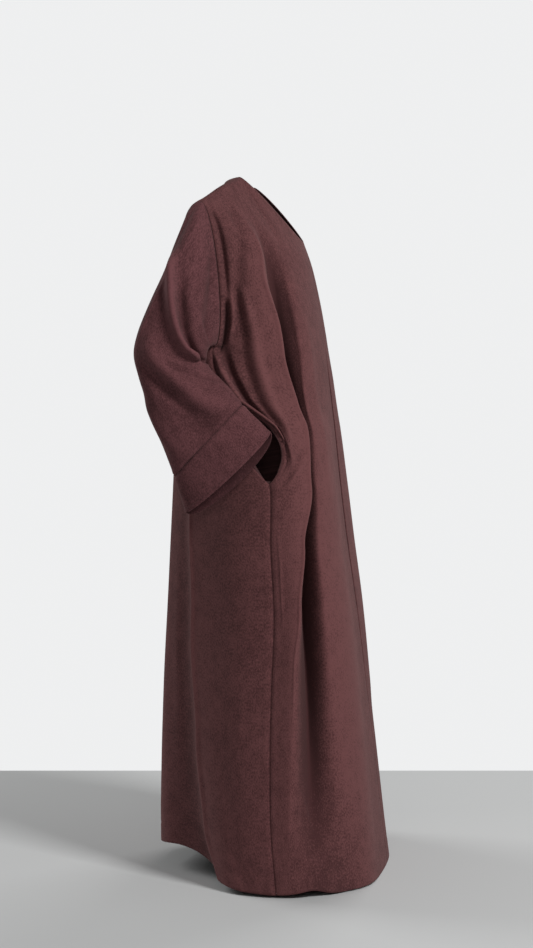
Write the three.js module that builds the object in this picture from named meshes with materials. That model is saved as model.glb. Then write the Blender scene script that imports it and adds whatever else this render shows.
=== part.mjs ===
import * as THREE from 'three';

/*
 * Open-front abaya on a wearer with bent arms, both hands in the side pockets.
 * Millimetres, +Z up, the front faces -Y and the wearer's right side is at -X.
 * The origin is at the nape, at the height of the neck end of the shoulder seams.
 */

/** Cloth and making-up sizes. */
const WALL = 1.6;
const SEAM_GAP = 0.4;
const CUFF_GAP = 0.7;
const FRONT_GAP = 1.6;

/** Neck end of the shoulder seam, and how full the seam bows upward. */
const NECK_SIDE = { x: 78, y: 9, z: 0 };
const NECK_SHARE = 0.41;
const NECK_REACH = 2.2;
const SHOULDER_BOW = 5;
const SHOULDER_UP = [0.35, 0.12, 0.93];

/**
 * Rows of the body, top to bottom: the centre front, the centre back, and the grid rows down to
 * the next body row.
 */
const BODY_ROWS = [
  { row: 'neck', frontY: -101, frontZ: -118, backY: 52, backZ: -6, steps: 3 },
  { row: 'chest', frontY: -117, frontZ: -168, backY: 94, backZ: -72, steps: 3 },
  { row: 'bust', frontY: -130, frontZ: -231, backY: 120, backZ: -165, steps: 2 },
  { row: 'under bust', frontY: -139, frontZ: -283, backY: 134, backZ: -250, steps: 2 },
  { row: 'underarm', frontY: -146, frontZ: -335, backY: 141, backZ: -335, steps: 3 },
  { row: 'waist', frontY: -163, frontZ: -480, backY: 146, backZ: -480, steps: 5 },
  { row: 'pocket foot', frontY: -174, frontZ: -585, backY: 149, backZ: -585, steps: 2 },
  { row: 'hip', frontY: -188, frontZ: -700, backY: 153, backZ: -700, steps: 2 },
  { row: 'thigh', frontY: -207, frontZ: -830, backY: 158, backZ: -825, steps: 2 },
  { row: 'knee', frontY: -224, frontZ: -965, backY: 164, backZ: -955, steps: 2 },
  { row: 'calf', frontY: -239, frontZ: -1090, backY: 168, backZ: -1075, steps: 2 },
  { row: 'shin', frontY: -253, frontZ: -1212, backY: 171, backZ: -1185, steps: 3 },
  { row: 'hem', frontY: -267, frontZ: -1325, backY: 173, backZ: -1280, steps: 0 },
];

/** How square the front corners are, and how far the back corner is cut off, for each body row. */
const CORNER_ROWS = [
  { row: 'neck', right: 2.1, left: 2.1, backCut: 0 },
  { row: 'chest', right: 2.2, left: 2.2, backCut: 0 },
  { row: 'bust', right: 2.2, left: 2.2, backCut: 0 },
  { row: 'under bust', right: 2.2, left: 2.2, backCut: 0 },
  { row: 'underarm', right: 2.2, left: 2.2, backCut: 0 },
  { row: 'waist', right: 2.2, left: 2.1, backCut: 0.1 },
  { row: 'pocket foot', right: 2.3, left: 2.1, backCut: 0.15 },
  { row: 'hip', right: 2.4, left: 2.1, backCut: 0.2 },
  { row: 'thigh', right: 2.5, left: 2.05, backCut: 0.25 },
  { row: 'knee', right: 2.6, left: 2.05, backCut: 0.3 },
  { row: 'calf', right: 2.6, left: 2.05, backCut: 0.38 },
  { row: 'shin', right: 2.6, left: 2.05, backCut: 0.46 },
  { row: 'hem', right: 2.6, left: 2.05, backCut: 0.55 },
];
const BACK_CORNER = 2;

/** The flank that the panels curve round to, before the armhole cuts into it. */
const FLANK_ROWS = [
  { frontHalf: 190, frontY: 58, frontZ: -61, backHalf: 190, backY: 64, backZ: -61 },
  { frontHalf: 195, frontY: 36, frontZ: -115, backHalf: 191, backY: 95, backZ: -92 },
  { frontHalf: 203, frontY: 19, frontZ: -190, backHalf: 199, backY: 98, backZ: -178 },
  { frontHalf: 209, frontY: 3, frontZ: -262, backHalf: 207, backY: 80, backZ: -260 },
  { frontHalf: 212, frontY: -12, frontZ: -332, backHalf: 212, backY: 40, backZ: -334 },
  { frontHalf: 216, frontY: -40, frontZ: -480, backHalf: 216, backY: -40, backZ: -480 },
];

/** The side seam below the underarm, one row for each body row from the underarm down. */
const UNDERARM_ROW = 4;
const SIDE_ROWS = [
  { half: 212, seamY: 33, seamZ: -330 },
  { half: 216, seamY: -44, seamZ: -480 },
  { half: 224, seamY: -73, seamZ: -585 },
  { half: 237, seamY: -77, seamZ: -700 },
  { half: 253, seamY: -86, seamZ: -828 },
  { half: 269, seamY: -84, seamZ: -962 },
  { half: 284, seamY: -84, seamZ: -1085 },
  { half: 298, seamY: -88, seamZ: -1206 },
  { half: 310, seamY: -100, seamZ: -1320 },
];
const SEAM_PULL = 8;
const SEAM_SWING = 22;

/** The back hem rides up beside the centre: where across, how wide and how much. */
const BACK_LIFT = { across: 0.4, width: 0.17, rise: 18, fromRow: 10 };

/** In-seam pocket: mouth top and foot, and the share of each quarter that the mouth opens by. */
const MOUTH = { top: -431, foot: -585, frontShare: 0.19, backShare: 0.11, skew: 1.2 };

/**
 * Folds of a panel. "from" and "to" are heights. Places across run from 0 at the centre to 1 at
 * the side seam (the back runs from -1, right, to 1, left) and are given at the top, middle and
 * foot of the fold, as are the depths. "inward" and "outward" are the widths toward the centre
 * (toward the right on the back) and away from it, as shares of the panel. "lean" tips the fold
 * over toward the centre, as a share of its depth, and is left out for an upright fold.
 */
const FOLDS_FRONT_RIGHT = [
  {
    from: -60,
    to: -1290,
    across: [0.64, 0.64, 0.64],
    depth: [10, 14, 3],
    inward: 0.045,
    outward: 0.22,
    lean: 0.9,
  },
  {
    from: -70,
    to: -1290,
    across: [0.54, 0.53, 0.53],
    depth: [-10, -42, -5],
    inward: 0.085,
    outward: 0.062,
    lean: -0.24,
  },
  {
    from: -160,
    to: -1290,
    across: [0.38, 0.37, 0.36],
    depth: [3, 12, 4],
    inward: 0.16,
    outward: 0.065,
    lean: -1.0,
  },
  { from: -380, to: -1400, across: [0.2, 0.21, 0.24], depth: [2, 11, 7], inward: 0.11, outward: 0.12 },
  { from: -30, to: -400, across: [0.68, 0.87, 0.95], depth: [-4, -9, -4], inward: 0.05, outward: 0.04 },
  { from: -40, to: -250, across: [0.95, 0.955, 0.96], depth: [-3, -8, -3], inward: 0.025, outward: 0.03 },
  { from: -200, to: -560, across: [0.85, 0.79, 0.8], depth: [3, 11, 3], inward: 0.03, outward: 0.05 },
  { from: -200, to: -560, across: [0.89, 0.85, 0.86], depth: [-3, -10, -3], inward: 0.03, outward: 0.03 },
  { from: -312, to: -520, across: [1, 0.97, 0.92], depth: [4, 7, 2], inward: 0.03, outward: 0.03 },
  { from: -1120, to: -1400, across: [0.42, 0.4, 0.4], depth: [-1, -6, -8], inward: 0.08, outward: 0.08 },
];
const FOLDS_FRONT_LEFT = [
  {
    from: -70,
    to: -1290,
    across: [0.64, 0.64, 0.64],
    depth: [8, 13, 4],
    inward: 0.05,
    outward: 0.22,
    lean: 0.8,
  },
  {
    from: -80,
    to: -1290,
    across: [0.54, 0.535, 0.53],
    depth: [-10, -42, -6],
    inward: 0.085,
    outward: 0.062,
    lean: -0.22,
  },
  {
    from: -200,
    to: -1290,
    across: [0.38, 0.37, 0.36],
    depth: [3, 11, 4],
    inward: 0.16,
    outward: 0.065,
    lean: -0.9,
  },
  { from: -300, to: -1060, across: [0.13, 0.16, 0.16], depth: [1, 8, 0], inward: 0.13, outward: 0.12 },
  { from: -40, to: -390, across: [0.69, 0.86, 0.94], depth: [-3, -8, -4], inward: 0.05, outward: 0.04 },
  { from: -40, to: -240, across: [0.95, 0.955, 0.96], depth: [-3, -7, -3], inward: 0.025, outward: 0.03 },
  { from: -210, to: -540, across: [0.84, 0.79, 0.8], depth: [3, 9, 3], inward: 0.035, outward: 0.05 },
  { from: -210, to: -540, across: [0.88, 0.85, 0.86], depth: [-3, -8, -3], inward: 0.03, outward: 0.03 },
  { from: -314, to: -500, across: [1, 0.965, 0.92], depth: [4, 6, 2], inward: 0.03, outward: 0.03 },
  { from: -1060, to: -1400, across: [0.34, 0.36, 0.36], depth: [1, 3, 4], inward: 0.1, outward: 0.1 },
];
const FOLDS_BACK = [
  {
    from: -400,
    to: -1400,
    across: [-0.54, -0.5, -0.48],
    depth: [3, 11, 9],
    inward: 0.13,
    outward: 0.035,
  },
  {
    from: -480,
    to: -1400,
    across: [-0.42, -0.39, -0.38],
    depth: [-1, -7, -8],
    inward: 0.05,
    outward: 0.08,
  },
  { from: -380, to: -1400, across: [-0.16, -0.18, -0.2], depth: [1, 7, 9], inward: 0.08, outward: 0.09 },
  {
    from: -360,
    to: -1400,
    across: [0.05, 0.04, 0.03],
    depth: [-1, -8, -11],
    inward: 0.08,
    outward: 0.08,
  },
  { from: -400, to: -1400, across: [0.24, 0.25, 0.27], depth: [1, 7, 10], inward: 0.08, outward: 0.09 },
  { from: -480, to: -1400, across: [0.46, 0.45, 0.44], depth: [-1, -8, -9], inward: 0.07, outward: 0.06 },
  { from: -430, to: -1400, across: [0.6, 0.6, 0.6], depth: [2, 9, 9], inward: 0.05, outward: 0.12 },
  { from: -80, to: -420, across: [-0.78, -0.72, -0.6], depth: [-2, -9, -2], inward: 0.08, outward: 0.08 },
  { from: -80, to: -420, across: [0.78, 0.74, 0.62], depth: [-2, -9, -2], inward: 0.08, outward: 0.08 },
];

/**
 * Guides: the grid column at "column" runs down a main fold, and these are the shares of the
 * quarter that it passes through by height. The columns beside it lean with it.
 */
const FRONT_GUIDES = [
  {
    column: 0.36,
    path: [
      { z: -100, share: 0.4 },
      { z: -330, share: 0.4 },
      { z: -480, share: 0.43 },
      { z: -590, share: 0.48 },
      { z: -725, share: 0.52 },
      { z: -868, share: 0.53 },
      { z: -1050, share: 0.52 },
      { z: -1340, share: 0.5 },
    ],
  },
  {
    column: 0.5,
    path: [
      { z: -100, share: 0.5 },
      { z: -330, share: 0.49 },
      { z: -480, share: 0.52 },
      { z: -590, share: 0.575 },
      { z: -725, share: 0.65 },
      { z: -868, share: 0.7 },
      { z: -1050, share: 0.73 },
      { z: -1340, share: 0.74 },
    ],
  },
  {
    column: 0.64,
    path: [
      { z: -100, share: 0.65 },
      { z: -206, share: 0.695 },
      { z: -350, share: 0.64 },
      { z: -480, share: 0.605 },
      { z: -590, share: 0.675 },
      { z: -700, share: 0.785 },
      { z: -813, share: 0.865 },
      { z: -920, share: 0.905 },
      { z: -1340, share: 0.93 },
    ],
  },
];
const BACK_GUIDES = [
  {
    column: 0.6,
    path: [
      { z: -330, share: 0.52 },
      { z: -600, share: 0.53 },
      { z: -840, share: 0.59 },
      { z: -1060, share: 0.68 },
      { z: -1232, share: 0.74 },
      { z: -1340, share: 0.85 },
    ],
  },
];

/**
 * Rings of the right sleeve from the armhole to the cuff. "in" is the underarm line, "out" the
 * overarm line, "near" and "far" push the two sides of the ring away from the line between them.
 */
const SLEEVE_RINGS = [
  { in: [-212, 33, -330], out: [-190, 63, -59], near: [-3, -22, 0], far: [2, 46, 0] },
  { in: [-219, 36, -330], out: [-208, 76, -86], near: [-20, -23, 0], far: [4, 34, 0] },
  { in: [-226, 37, -332], out: [-228, 97, -138], near: [-34, -22, 3], far: [14, 26, 0] },
  { in: [-234, 38, -336], out: [-246, 119, -195], near: [-44, -14, 4], far: [24, 14, 0] },
  { in: [-240, 39, -343], out: [-260, 141, -252], near: [-48, -6, 2], far: [30, 8, 0] },
  { in: [-245, 39, -352], out: [-268, 160, -305], near: [-46, 0, -2], far: [30, 4, 0] },
  { in: [-248, 37, -362], out: [-272, 168, -345], near: [-44, 2, -3], far: [28, 2, 0] },
  { in: [-250, 28, -376], out: [-272, 160, -384], near: [-42, 2, -4], far: [26, 0, 0] },
  { in: [-251, 12, -391], out: [-270, 147, -427], near: [-40, 0, -5], far: [24, 0, -3] },
  { in: [-251, -6, -409], out: [-268, 129, -478], near: [-39, 0, -5], far: [22, 0, -5] },
  { in: [-251, -18, -424], out: [-266, 111, -527], near: [-38, -1, -4], far: [21, 0, -6] },
  { in: [-251, -29, -438], out: [-264, 95, -570], near: [-38, -2, -4], far: [20, 0, -8] },
];
const CUFF_RINGS = [
  { in: [-251, -46, -455], out: [-263, 89, -592], near: [-38, -4, -7], far: [20, -2, -11] },
  { in: [-251, -63, -471], out: [-261, 83, -612], near: [-38, -6, -10], far: [20, -5, -15] },
  { in: [-250, -80, -488], out: [-260, 77, -633], near: [-38, -8, -14], far: [20, -9, -20] },
];

/**
 * Folds of a sleeve: a line from one place to another. "along" counts rings, "around" is the
 * share of the ring from the underarm line (0) over the near side to the overarm line (0.5).
 */
const FOLDS_SLEEVE_RIGHT = [
  { along: [0, 6.4], around: [0.44, 0.41], depth: 3, width: 0.05 },
  { along: [0, 2.9], around: [0.26, 0.1], depth: -10, width: 0.07 },
  { along: [2.1, 5.9], around: [0.48, 0.04], depth: 12, width: 0.05 },
  { along: [2.3, 6.3], around: [0.37, -0.04], depth: -10, width: 0.05 },
  { along: [4.2, 10.8], around: [0.36, 0.13], depth: 9, width: 0.055 },
  { along: [6.0, 11.4], around: [0.35, 0.19], depth: -10, width: 0.05 },
  { along: [7.6, 11.2], around: [0.52, 0.3], depth: 5, width: 0.05 },
  { along: [2.0, 8.5], around: [0.66, 0.84], depth: -6, width: 0.08 },
];
const FOLDS_SLEEVE_LEFT = [
  { along: [0, 6.2], around: [0.44, 0.41], depth: 3, width: 0.05 },
  { along: [0, 2.7], around: [0.26, 0.11], depth: -10, width: 0.07 },
  { along: [2.0, 5.6], around: [0.47, 0.05], depth: 12, width: 0.05 },
  { along: [2.3, 6.1], around: [0.36, -0.02], depth: -10, width: 0.05 },
  { along: [4.4, 10.6], around: [0.35, 0.14], depth: 8, width: 0.06 },
  { along: [6.4, 11.2], around: [0.37, 0.2], depth: -9, width: 0.05 },
  { along: [2.2, 8.2], around: [0.68, 0.86], depth: -6, width: 0.08 },
];

/** Pocket bag behind the mouth: how far in, and how far it spreads and hangs past the mouth. */
const POCKET_RINGS = [
  { inward: 0.2, spread: 0, hang: 0, lift: 0 },
  { inward: 12, spread: 0, hang: 0, lift: 0 },
  { inward: 24, spread: 8, hang: 50, lift: 0 },
  { inward: 38, spread: 14, hang: 110, lift: 0 },
  { inward: 54, spread: 10, hang: 105, lift: 0 },
];

/** Grid counts. The rows come from the body rows, the columns of a sleeve from its armhole. */
const FRONT_SPANS = [
  { to: 0.08, columns: 2 },
  { to: 0.34, columns: 5 },
  { to: 0.46, columns: 4 },
  { to: 0.6, columns: 8 },
  { to: 0.68, columns: 3 },
  { to: 0.88, columns: 5 },
  { to: 1, columns: 5 },
];
const BACK_COLUMNS = 34;
const SLEEVE_STEPS = 17;
const CUFF_STEPS = 3;

const CLOTH = { color: 0x5c3838, roughness: 0.95, metalness: 0 };
const CLOTH_BAG = { color: 0x4a2c2e, roughness: 0.95, metalness: 0 };

// ---- Small helpers ----

const clamp01 = (value) => Math.min(1, Math.max(0, value));
const mix = (a, b, share) => a + (b - a) * share;
const ease = (value) => {
  const s = clamp01(value);
  return s * s * (3 - 2 * s);
};

/** Smooth curve through equally spaced values. */
function curve(values, place) {
  const last = values.length - 1;
  const start = Math.min(last - 1, Math.max(0, Math.floor(place)));
  const s = place - start;
  const b = values[start];
  const c = values[start + 1];
  const a = start > 0 ? values[start - 1] : 2 * b - c;
  const d = start + 2 <= last ? values[start + 2] : 2 * c - b;
  const cubic = (3 * (b - c) + d - a) * s;
  return b + 0.5 * s * (c - a + s * (2 * a - 5 * b + 4 * c - d + cubic));
}

const column = (rows, key) => rows.map((row) => row[key]);
const along = (rows, key, place) => curve(column(rows, key), place);
const vectorAlong = (rows, key, place) => {
  return [0, 1, 2].map((axis) => curve(rows.map((row) => row[key][axis]), place));
};
const threeWay = ([top, middle, foot], s) => {
  return top * (1 - s) * (1 - 2 * s) + middle * 4 * s * (1 - s) + foot * s * (2 * s - 1);
};

/** Share of the quarter that a guide passes through at height z. */
function guideShare({ path }, z) {
  const next = path.findIndex((knot) => knot.z <= z);
  if (next === 0) {
    return path[0].share;
  }
  if (next < 0) {
    return path[path.length - 1].share;
  }
  const above = path[next - 1];
  const below = path[next];
  return mix(above.share, below.share, ease((above.z - z) / (above.z - below.z)));
}

/** Share of the quarter for a grid column, leaning with the guides. */
function leaningShare(guides, across, z) {
  const knots = [
    { column: 0, share: 0 },
    ...guides.map((guide) => ({ column: guide.column, share: guideShare(guide, z) })),
    { column: 1, share: 1 },
  ];
  const next = Math.max(1, knots.findIndex((knot) => knot.column >= across));
  const low = knots[next - 1];
  const high = knots[next];
  return mix(low.share, high.share, (across - low.column) / (high.column - low.column));
}

/** Point of a sleeve ring at an angle, 0 on the underarm line and half a turn on the overarm. */
function ringPoint(ring, angle) {
  const inner = (1 + Math.cos(angle)) / 2;
  const swing = Math.sin(angle);
  const push = swing >= 0 ? ring.near : ring.far;
  const amount = Math.abs(swing) ** 0.85;
  return ring.in.map((value, axis) => mix(ring.out[axis], value, inner) + push[axis] * amount);
}

function ringAlong(rings, place) {
  return {
    in: vectorAlong(rings, 'in', place),
    out: vectorAlong(rings, 'out', place),
    near: vectorAlong(rings, 'near', place),
    far: vectorAlong(rings, 'far', place),
  };
}

// ---- Body panels ----

const armholeAngle = (half, place) => {
  const turn = place / UNDERARM_ROW;
  return half === 'front' ? Math.PI * (1 - turn) : Math.PI * (1 + turn);
};

/** Point of the side edge of a quarter: the armhole first, then the side seam. */
function sidePoint(half, place) {
  if (place <= UNDERARM_ROW) {
    const [x, y, z] = ringPoint(SLEEVE_RINGS[0], armholeAngle(half, place));
    return [-x, y, z];
  }
  const lower = place - UNDERARM_ROW;
  const x = along(SIDE_ROWS, 'half', lower);
  const swing = SEAM_SWING * Math.sin(Math.PI * clamp01(lower) ** 0.8);
  const y = along(SIDE_ROWS, 'seamY', lower) + swing;
  return [x, y, along(SIDE_ROWS, 'seamZ', lower)];
}

/** Point that the panel curves round to, which runs smoothly past the underarm. */
function flankPoint(half, place) {
  const blend = ease(place - UNDERARM_ROW);
  if (blend >= 1) {
    return sidePoint(half, place);
  }
  const keys = [`${half}Half`, `${half}Y`, `${half}Z`];
  const flank = keys.map((key) => along(FLANK_ROWS, key, place));
  if (blend <= 0) {
    return flank;
  }
  const seam = sidePoint(half, place);
  return flank.map((value, axis) => mix(value, seam[axis], blend));
}

/** Top edge of a quarter: the neckline to its side, then the shoulder seam. */
function topPoint(half, share, centre) {
  const inset = half === 'front' ? FRONT_GAP : 0;
  if (share < NECK_SHARE) {
    const angle = (share / NECK_SHARE) * Math.PI / 2;
    const x = inset + (NECK_SIDE.x - inset) * Math.sin(angle);
    const y = NECK_SIDE.y + (centre[1] - NECK_SIDE.y) * Math.cos(angle);
    return [x, y, NECK_SIDE.z + (centre[2] - NECK_SIDE.z) * Math.cos(angle) ** 1.2];
  }
  const s = (share - NECK_SHARE) / (1 - NECK_SHARE);
  const tip = sidePoint(half, 0);
  const bow = SHOULDER_BOW * Math.sin(Math.PI * s);
  return [mix(NECK_SIDE.x, tip[0], s), mix(NECK_SIDE.y, tip[1], s), mix(NECK_SIDE.z, tip[2], s) + bow];
}

/** How far the pocket mouth is open at height z, from 0 to 1. */
function mouthOpen(z) {
  const s = clamp01((MOUTH.top - z) / (MOUTH.top - MOUTH.foot));
  return Math.sin(Math.PI * s ** MOUTH.skew);
}

/** Corner from a centre point to a flank point, squared or cut off as the row says. */
function cornerPoint({ half, word }, angle, place, centre, side) {
  const front = half === 'front';
  const power = 2 / (front ? along(CORNER_ROWS, word, place) : BACK_CORNER);
  const cut = front ? 0 : along(CORNER_ROWS, 'backCut', place) * Math.sin(2 * angle) ** 2;
  const across = mix(Math.sin(angle) ** power, Math.sin(angle) ** 2, cut);
  const back = mix(Math.cos(angle) ** power, Math.cos(angle) ** 2, cut);
  const drop = Math.cos(angle) ** 2;
  return [
    mix(centre[0], side[0], across),
    mix(side[1], centre[1], back),
    mix(side[2], centre[2], drop),
  ];
}

/** Unfolded point of a quarter of the body: share 0 at the centre, 1 at the side edge. */
function quarterPoint(quarter, share, place) {
  const { half } = quarter;
  const angle = clamp01(share) * Math.PI / 2;
  const inset = half === 'front' ? FRONT_GAP : 0;
  const pull = clamp01(share) ** SEAM_PULL;
  const rowPoint = (row) => {
    const centre = [inset, along(BODY_ROWS, `${half}Y`, row), along(BODY_ROWS, `${half}Z`, row)];
    const flank = flankPoint(half, row);
    const edge = sidePoint(half, row);
    const corner = cornerPoint(quarter, angle, row, centre, flank);
    return corner.map((value, axis) => value + pull * (edge[axis] - flank[axis]));
  };
  const point = rowPoint(place);
  if (half === 'back' && place > BACK_LIFT.fromRow) {
    const low = ease((place - BACK_LIFT.fromRow) / (BODY_ROWS.length - 1 - BACK_LIFT.fromRow));
    point[2] += BACK_LIFT.rise * low * Math.exp(-(((share - BACK_LIFT.across) / BACK_LIFT.width) ** 2));
  }
  if (place >= NECK_REACH) {
    return point;
  }
  const fade = (1 - place / NECK_REACH) ** 2;
  const top = topPoint(half, share, [inset, BODY_ROWS[0][`${half}Y`], BODY_ROWS[0][`${half}Z`]]);
  const first = rowPoint(0);
  return point.map((value, axis) => value + fade * (top[axis] - first[axis]));
}

/** Depth and tip of the folds, summed, at a place across a panel and a height. */
function foldShift(folds, across, z) {
  return folds.reduce((sum, fold) => {
    const s = (fold.from - z) / (fold.from - fold.to);
    if (s <= 0 || s >= 1) {
      return sum;
    }
    const offset = across - threeWay(fold.across, s);
    const width = offset < 0 ? fold.inward : fold.outward;
    const ends = ease(s / 0.12) * ease((1 - s) / 0.1);
    const depth = threeWay(fold.depth, s) * ends * Math.exp(-((offset / width) ** 2));
    return { depth: sum.depth + depth, tip: sum.tip + depth * (fold.lean ?? 0) };
  }, { depth: 0, tip: 0 });
}

/** Column places of a front panel, closer together where its folds are sharp. */
function frontColumns() {
  let from = 0;
  return FRONT_SPANS.flatMap(({ to, columns }) => {
    const start = from;
    from = to;
    return Array.from({ length: columns }, (_, i) => mix(start, to, i / columns));
  }).concat(1);
}

/** Row places from the neck to the hem. */
const ROW_PLACES = BODY_ROWS.flatMap(({ steps }, row) => {
  return steps > 0 ? Array.from({ length: steps }, (_, i) => row + i / steps) : [row];
});
const ARMHOLE_PLACES = ROW_PLACES.filter((place) => place <= UNDERARM_ROW);

/** Keep folds still at the armhole, the side seam and the shoulder seam, so that seams meet. */
function seamHold(across, place) {
  const side = ease((1 - Math.abs(across)) / 0.045);
  const top = ease(place / 1.1);
  return side * top;
}

/** Front panel as a grid of points, rows down and columns from the front edge to the side. */
function frontGrid(side, folds) {
  const quarter = { half: 'front', word: side < 0 ? 'right' : 'left' };
  const surface = (across, place) => {
    const level = sidePoint('front', place)[2];
    const spread = leaningShare(FRONT_GUIDES, across, level);
    const share = spread * (1 - MOUTH.frontShare * mouthOpen(level) * ease(4 * across - 3));
    const [x, y, z] = quarterPoint(quarter, share, place);
    return [side * x, y, z];
  };
  const shift = (across, place) => foldShift(folds, across, surface(across, place)[2]);
  return foldedGrid(surface, shift, frontColumns(), -side);
}

/** Back panel as a grid, columns from the right seam to the left seam. */
function backGrid() {
  const surface = (across, place) => {
    const level = sidePoint('back', place)[2];
    const near = Math.abs(across);
    const spread = leaningShare(BACK_GUIDES, near, level);
    const share = spread * (1 - MOUTH.backShare * mouthOpen(level) * ease(2.5 * near - 1.5));
    const [x, y, z] = quarterPoint({ half: 'back' }, share, place);
    return [Math.sign(across) * x, y, z];
  };
  const shift = (across, place) => foldShift(FOLDS_BACK, across, surface(across, place)[2]);
  const columns = Array.from({ length: BACK_COLUMNS + 1 }, (_, i) => 2 * i / BACK_COLUMNS - 1);
  return foldedGrid(surface, shift, columns, 1);
}

/** Points of a surface with its folds pushed out along its normal and tipped toward the centre. */
function foldedGrid(surface, shift, columns, flip) {
  const step = 0.004;
  const places = ROW_PLACES;
  return places.map((place) => columns.map((across) => {
    const at = new THREE.Vector3(...surface(across, place));
    const low = Math.max(columns[0], across - step);
    const high = Math.min(columns[columns.length - 1], across + step);
    const up = Math.max(places[0], place - step);
    const down = Math.min(places[places.length - 1], place + step);
    const acrossWay = new THREE.Vector3(...surface(high, place));
    acrossWay.sub(new THREE.Vector3(...surface(low, place)));
    const downWay = new THREE.Vector3(...surface(across, down));
    downWay.sub(new THREE.Vector3(...surface(across, up)));
    const normal = acrossWay.clone().cross(downWay).normalize().multiplyScalar(flip);
    const hold = seamHold(across, place);
    const { depth, tip } = shift(across, place);
    return at.addScaledVector(normal, depth * hold).addScaledVector(acrossWay.normalize(), -tip * hold);
  }));
}

// ---- Sleeves, cuffs and pockets ----

function sleeveFold(folds, turn, place) {
  return folds.reduce((sum, fold) => {
    const s = (place - fold.along[0]) / (fold.along[1] - fold.along[0]);
    if (s <= 0 || s >= 1) {
      return sum;
    }
    const offset = turn - mix(fold.around[0], fold.around[1], s);
    const away = Math.abs(offset - Math.round(offset));
    const ends = ease(s / 0.25) * ease((1 - s) / 0.25);
    return sum + fold.depth * ends * Math.exp(-((away / fold.width) ** 2));
  }, 0);
}

/** Shares of a turn for the columns of a sleeve, which meet the rows at the armhole. */
const SLEEVE_TURNS = [
  ...ARMHOLE_PLACES.slice().reverse().map((place) => armholeAngle('front', place)),
  ...ARMHOLE_PLACES.slice(1, -1).map((place) => armholeAngle('back', place)),
].map((angle) => angle / (2 * Math.PI));

/** Tube through a run of rings, as a grid whose columns go once around. */
function tubeGrid(side, rings, folds, count) {
  const last = rings.length - 1;
  const surface = (turn, place) => {
    const [x, y, z] = ringPoint(ringAlong(rings, place), turn * 2 * Math.PI);
    return new THREE.Vector3(-side * x, y, z);
  };
  return Array.from({ length: count + 1 }, (_, i) => {
    const place = last * i / count;
    return SLEEVE_TURNS.map((turn) => {
      const at = surface(turn, place);
      const around = surface(turn + 0.01, place).sub(surface(turn - 0.01, place));
      const down = surface(turn, Math.min(last, place + 0.05)).sub(surface(turn, Math.max(0, place - 0.05)));
      const normal = around.cross(down).normalize().multiplyScalar(-side);
      return at.addScaledVector(normal, sleeveFold(folds, turn, place));
    });
  });
}

/** Push the first ring of a tube by a small vector or along its own direction, for the seam. */
function setBack(grid, wayOf, distance) {
  const first = grid[0].map((point, j) => {
    return point.clone().addScaledVector(wayOf(point, grid[1][j]), distance);
  });
  return [first, ...grid.slice(1)];
}

/** Rings of a pocket bag, from the mouth inward to its back wall. */
function pocketGrid(side, frontEdge, backEdge) {
  const trimmed = (edge) => {
    const last = edge.length - 1;
    const top = edge[0].clone().lerp(edge[1], 0.45);
    const foot = edge[last - 1].clone().lerp(edge[last], 0.5);
    return [top, ...edge.slice(1, last), foot];
  };
  const front = trimmed(frontEdge).map((point) => ({ point, way: -1 }));
  const back = trimmed(backEdge).reverse().map((point) => ({ point, way: 1 }));
  const loop = [...front, ...back];
  const top = front[0].point.z;
  const height = top - front[front.length - 1].point.z;
  const clear = SEAM_GAP + 0.5;
  return POCKET_RINGS.map((ring) => loop.map(({ point, way }) => {
    const s = (top - point.z) / height;
    const swell = 0.25 + 0.75 * Math.sin(Math.PI * clamp01(0.12 + 0.8 * s));
    const y = point.y + way * (ring.spread * swell - clear);
    const z = point.z - ring.hang * ease((s - 0.3) / 0.7) + ring.lift * (1 - s);
    return new THREE.Vector3(point.x - side * ring.inward, y, z);
  }));
}

/** Edge points of a panel along the pocket mouth. */
function mouthEdge(grid, index) {
  const inMouth = (place) => {
    const z = sidePoint('front', place)[2];
    return z <= MOUTH.top + 8 && z >= MOUTH.foot - 1;
  };
  return grid.filter((_, i) => inMouth(ROW_PLACES[i])).map((row) => row[index]);
}

// ---- Walls ----

/** Grid normals from neighbouring points. "flip" is 1 or -1. */
function gridNormals(grid, wraps, flip) {
  const rows = grid.length;
  const columns = grid[0].length;
  return grid.map((row, i) => row.map((_, j) => {
    const left = wraps ? (j + columns - 1) % columns : Math.max(0, j - 1);
    const right = wraps ? (j + 1) % columns : Math.min(columns - 1, j + 1);
    const around = row[right].clone().sub(row[left]);
    const down = grid[Math.min(rows - 1, i + 1)][j].clone().sub(grid[Math.max(0, i - 1)][j]);
    return around.cross(down).normalize().multiplyScalar(flip);
  }));
}

/** Normals of a sleeve, kept in the plane of the armhole at its first ring. */
function sleeveNormals(grid, flip) {
  const normals = gridNormals(grid, true, flip);
  normals[0].forEach((normal) => normal.setX(0).normalize());
  return normals;
}

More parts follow.
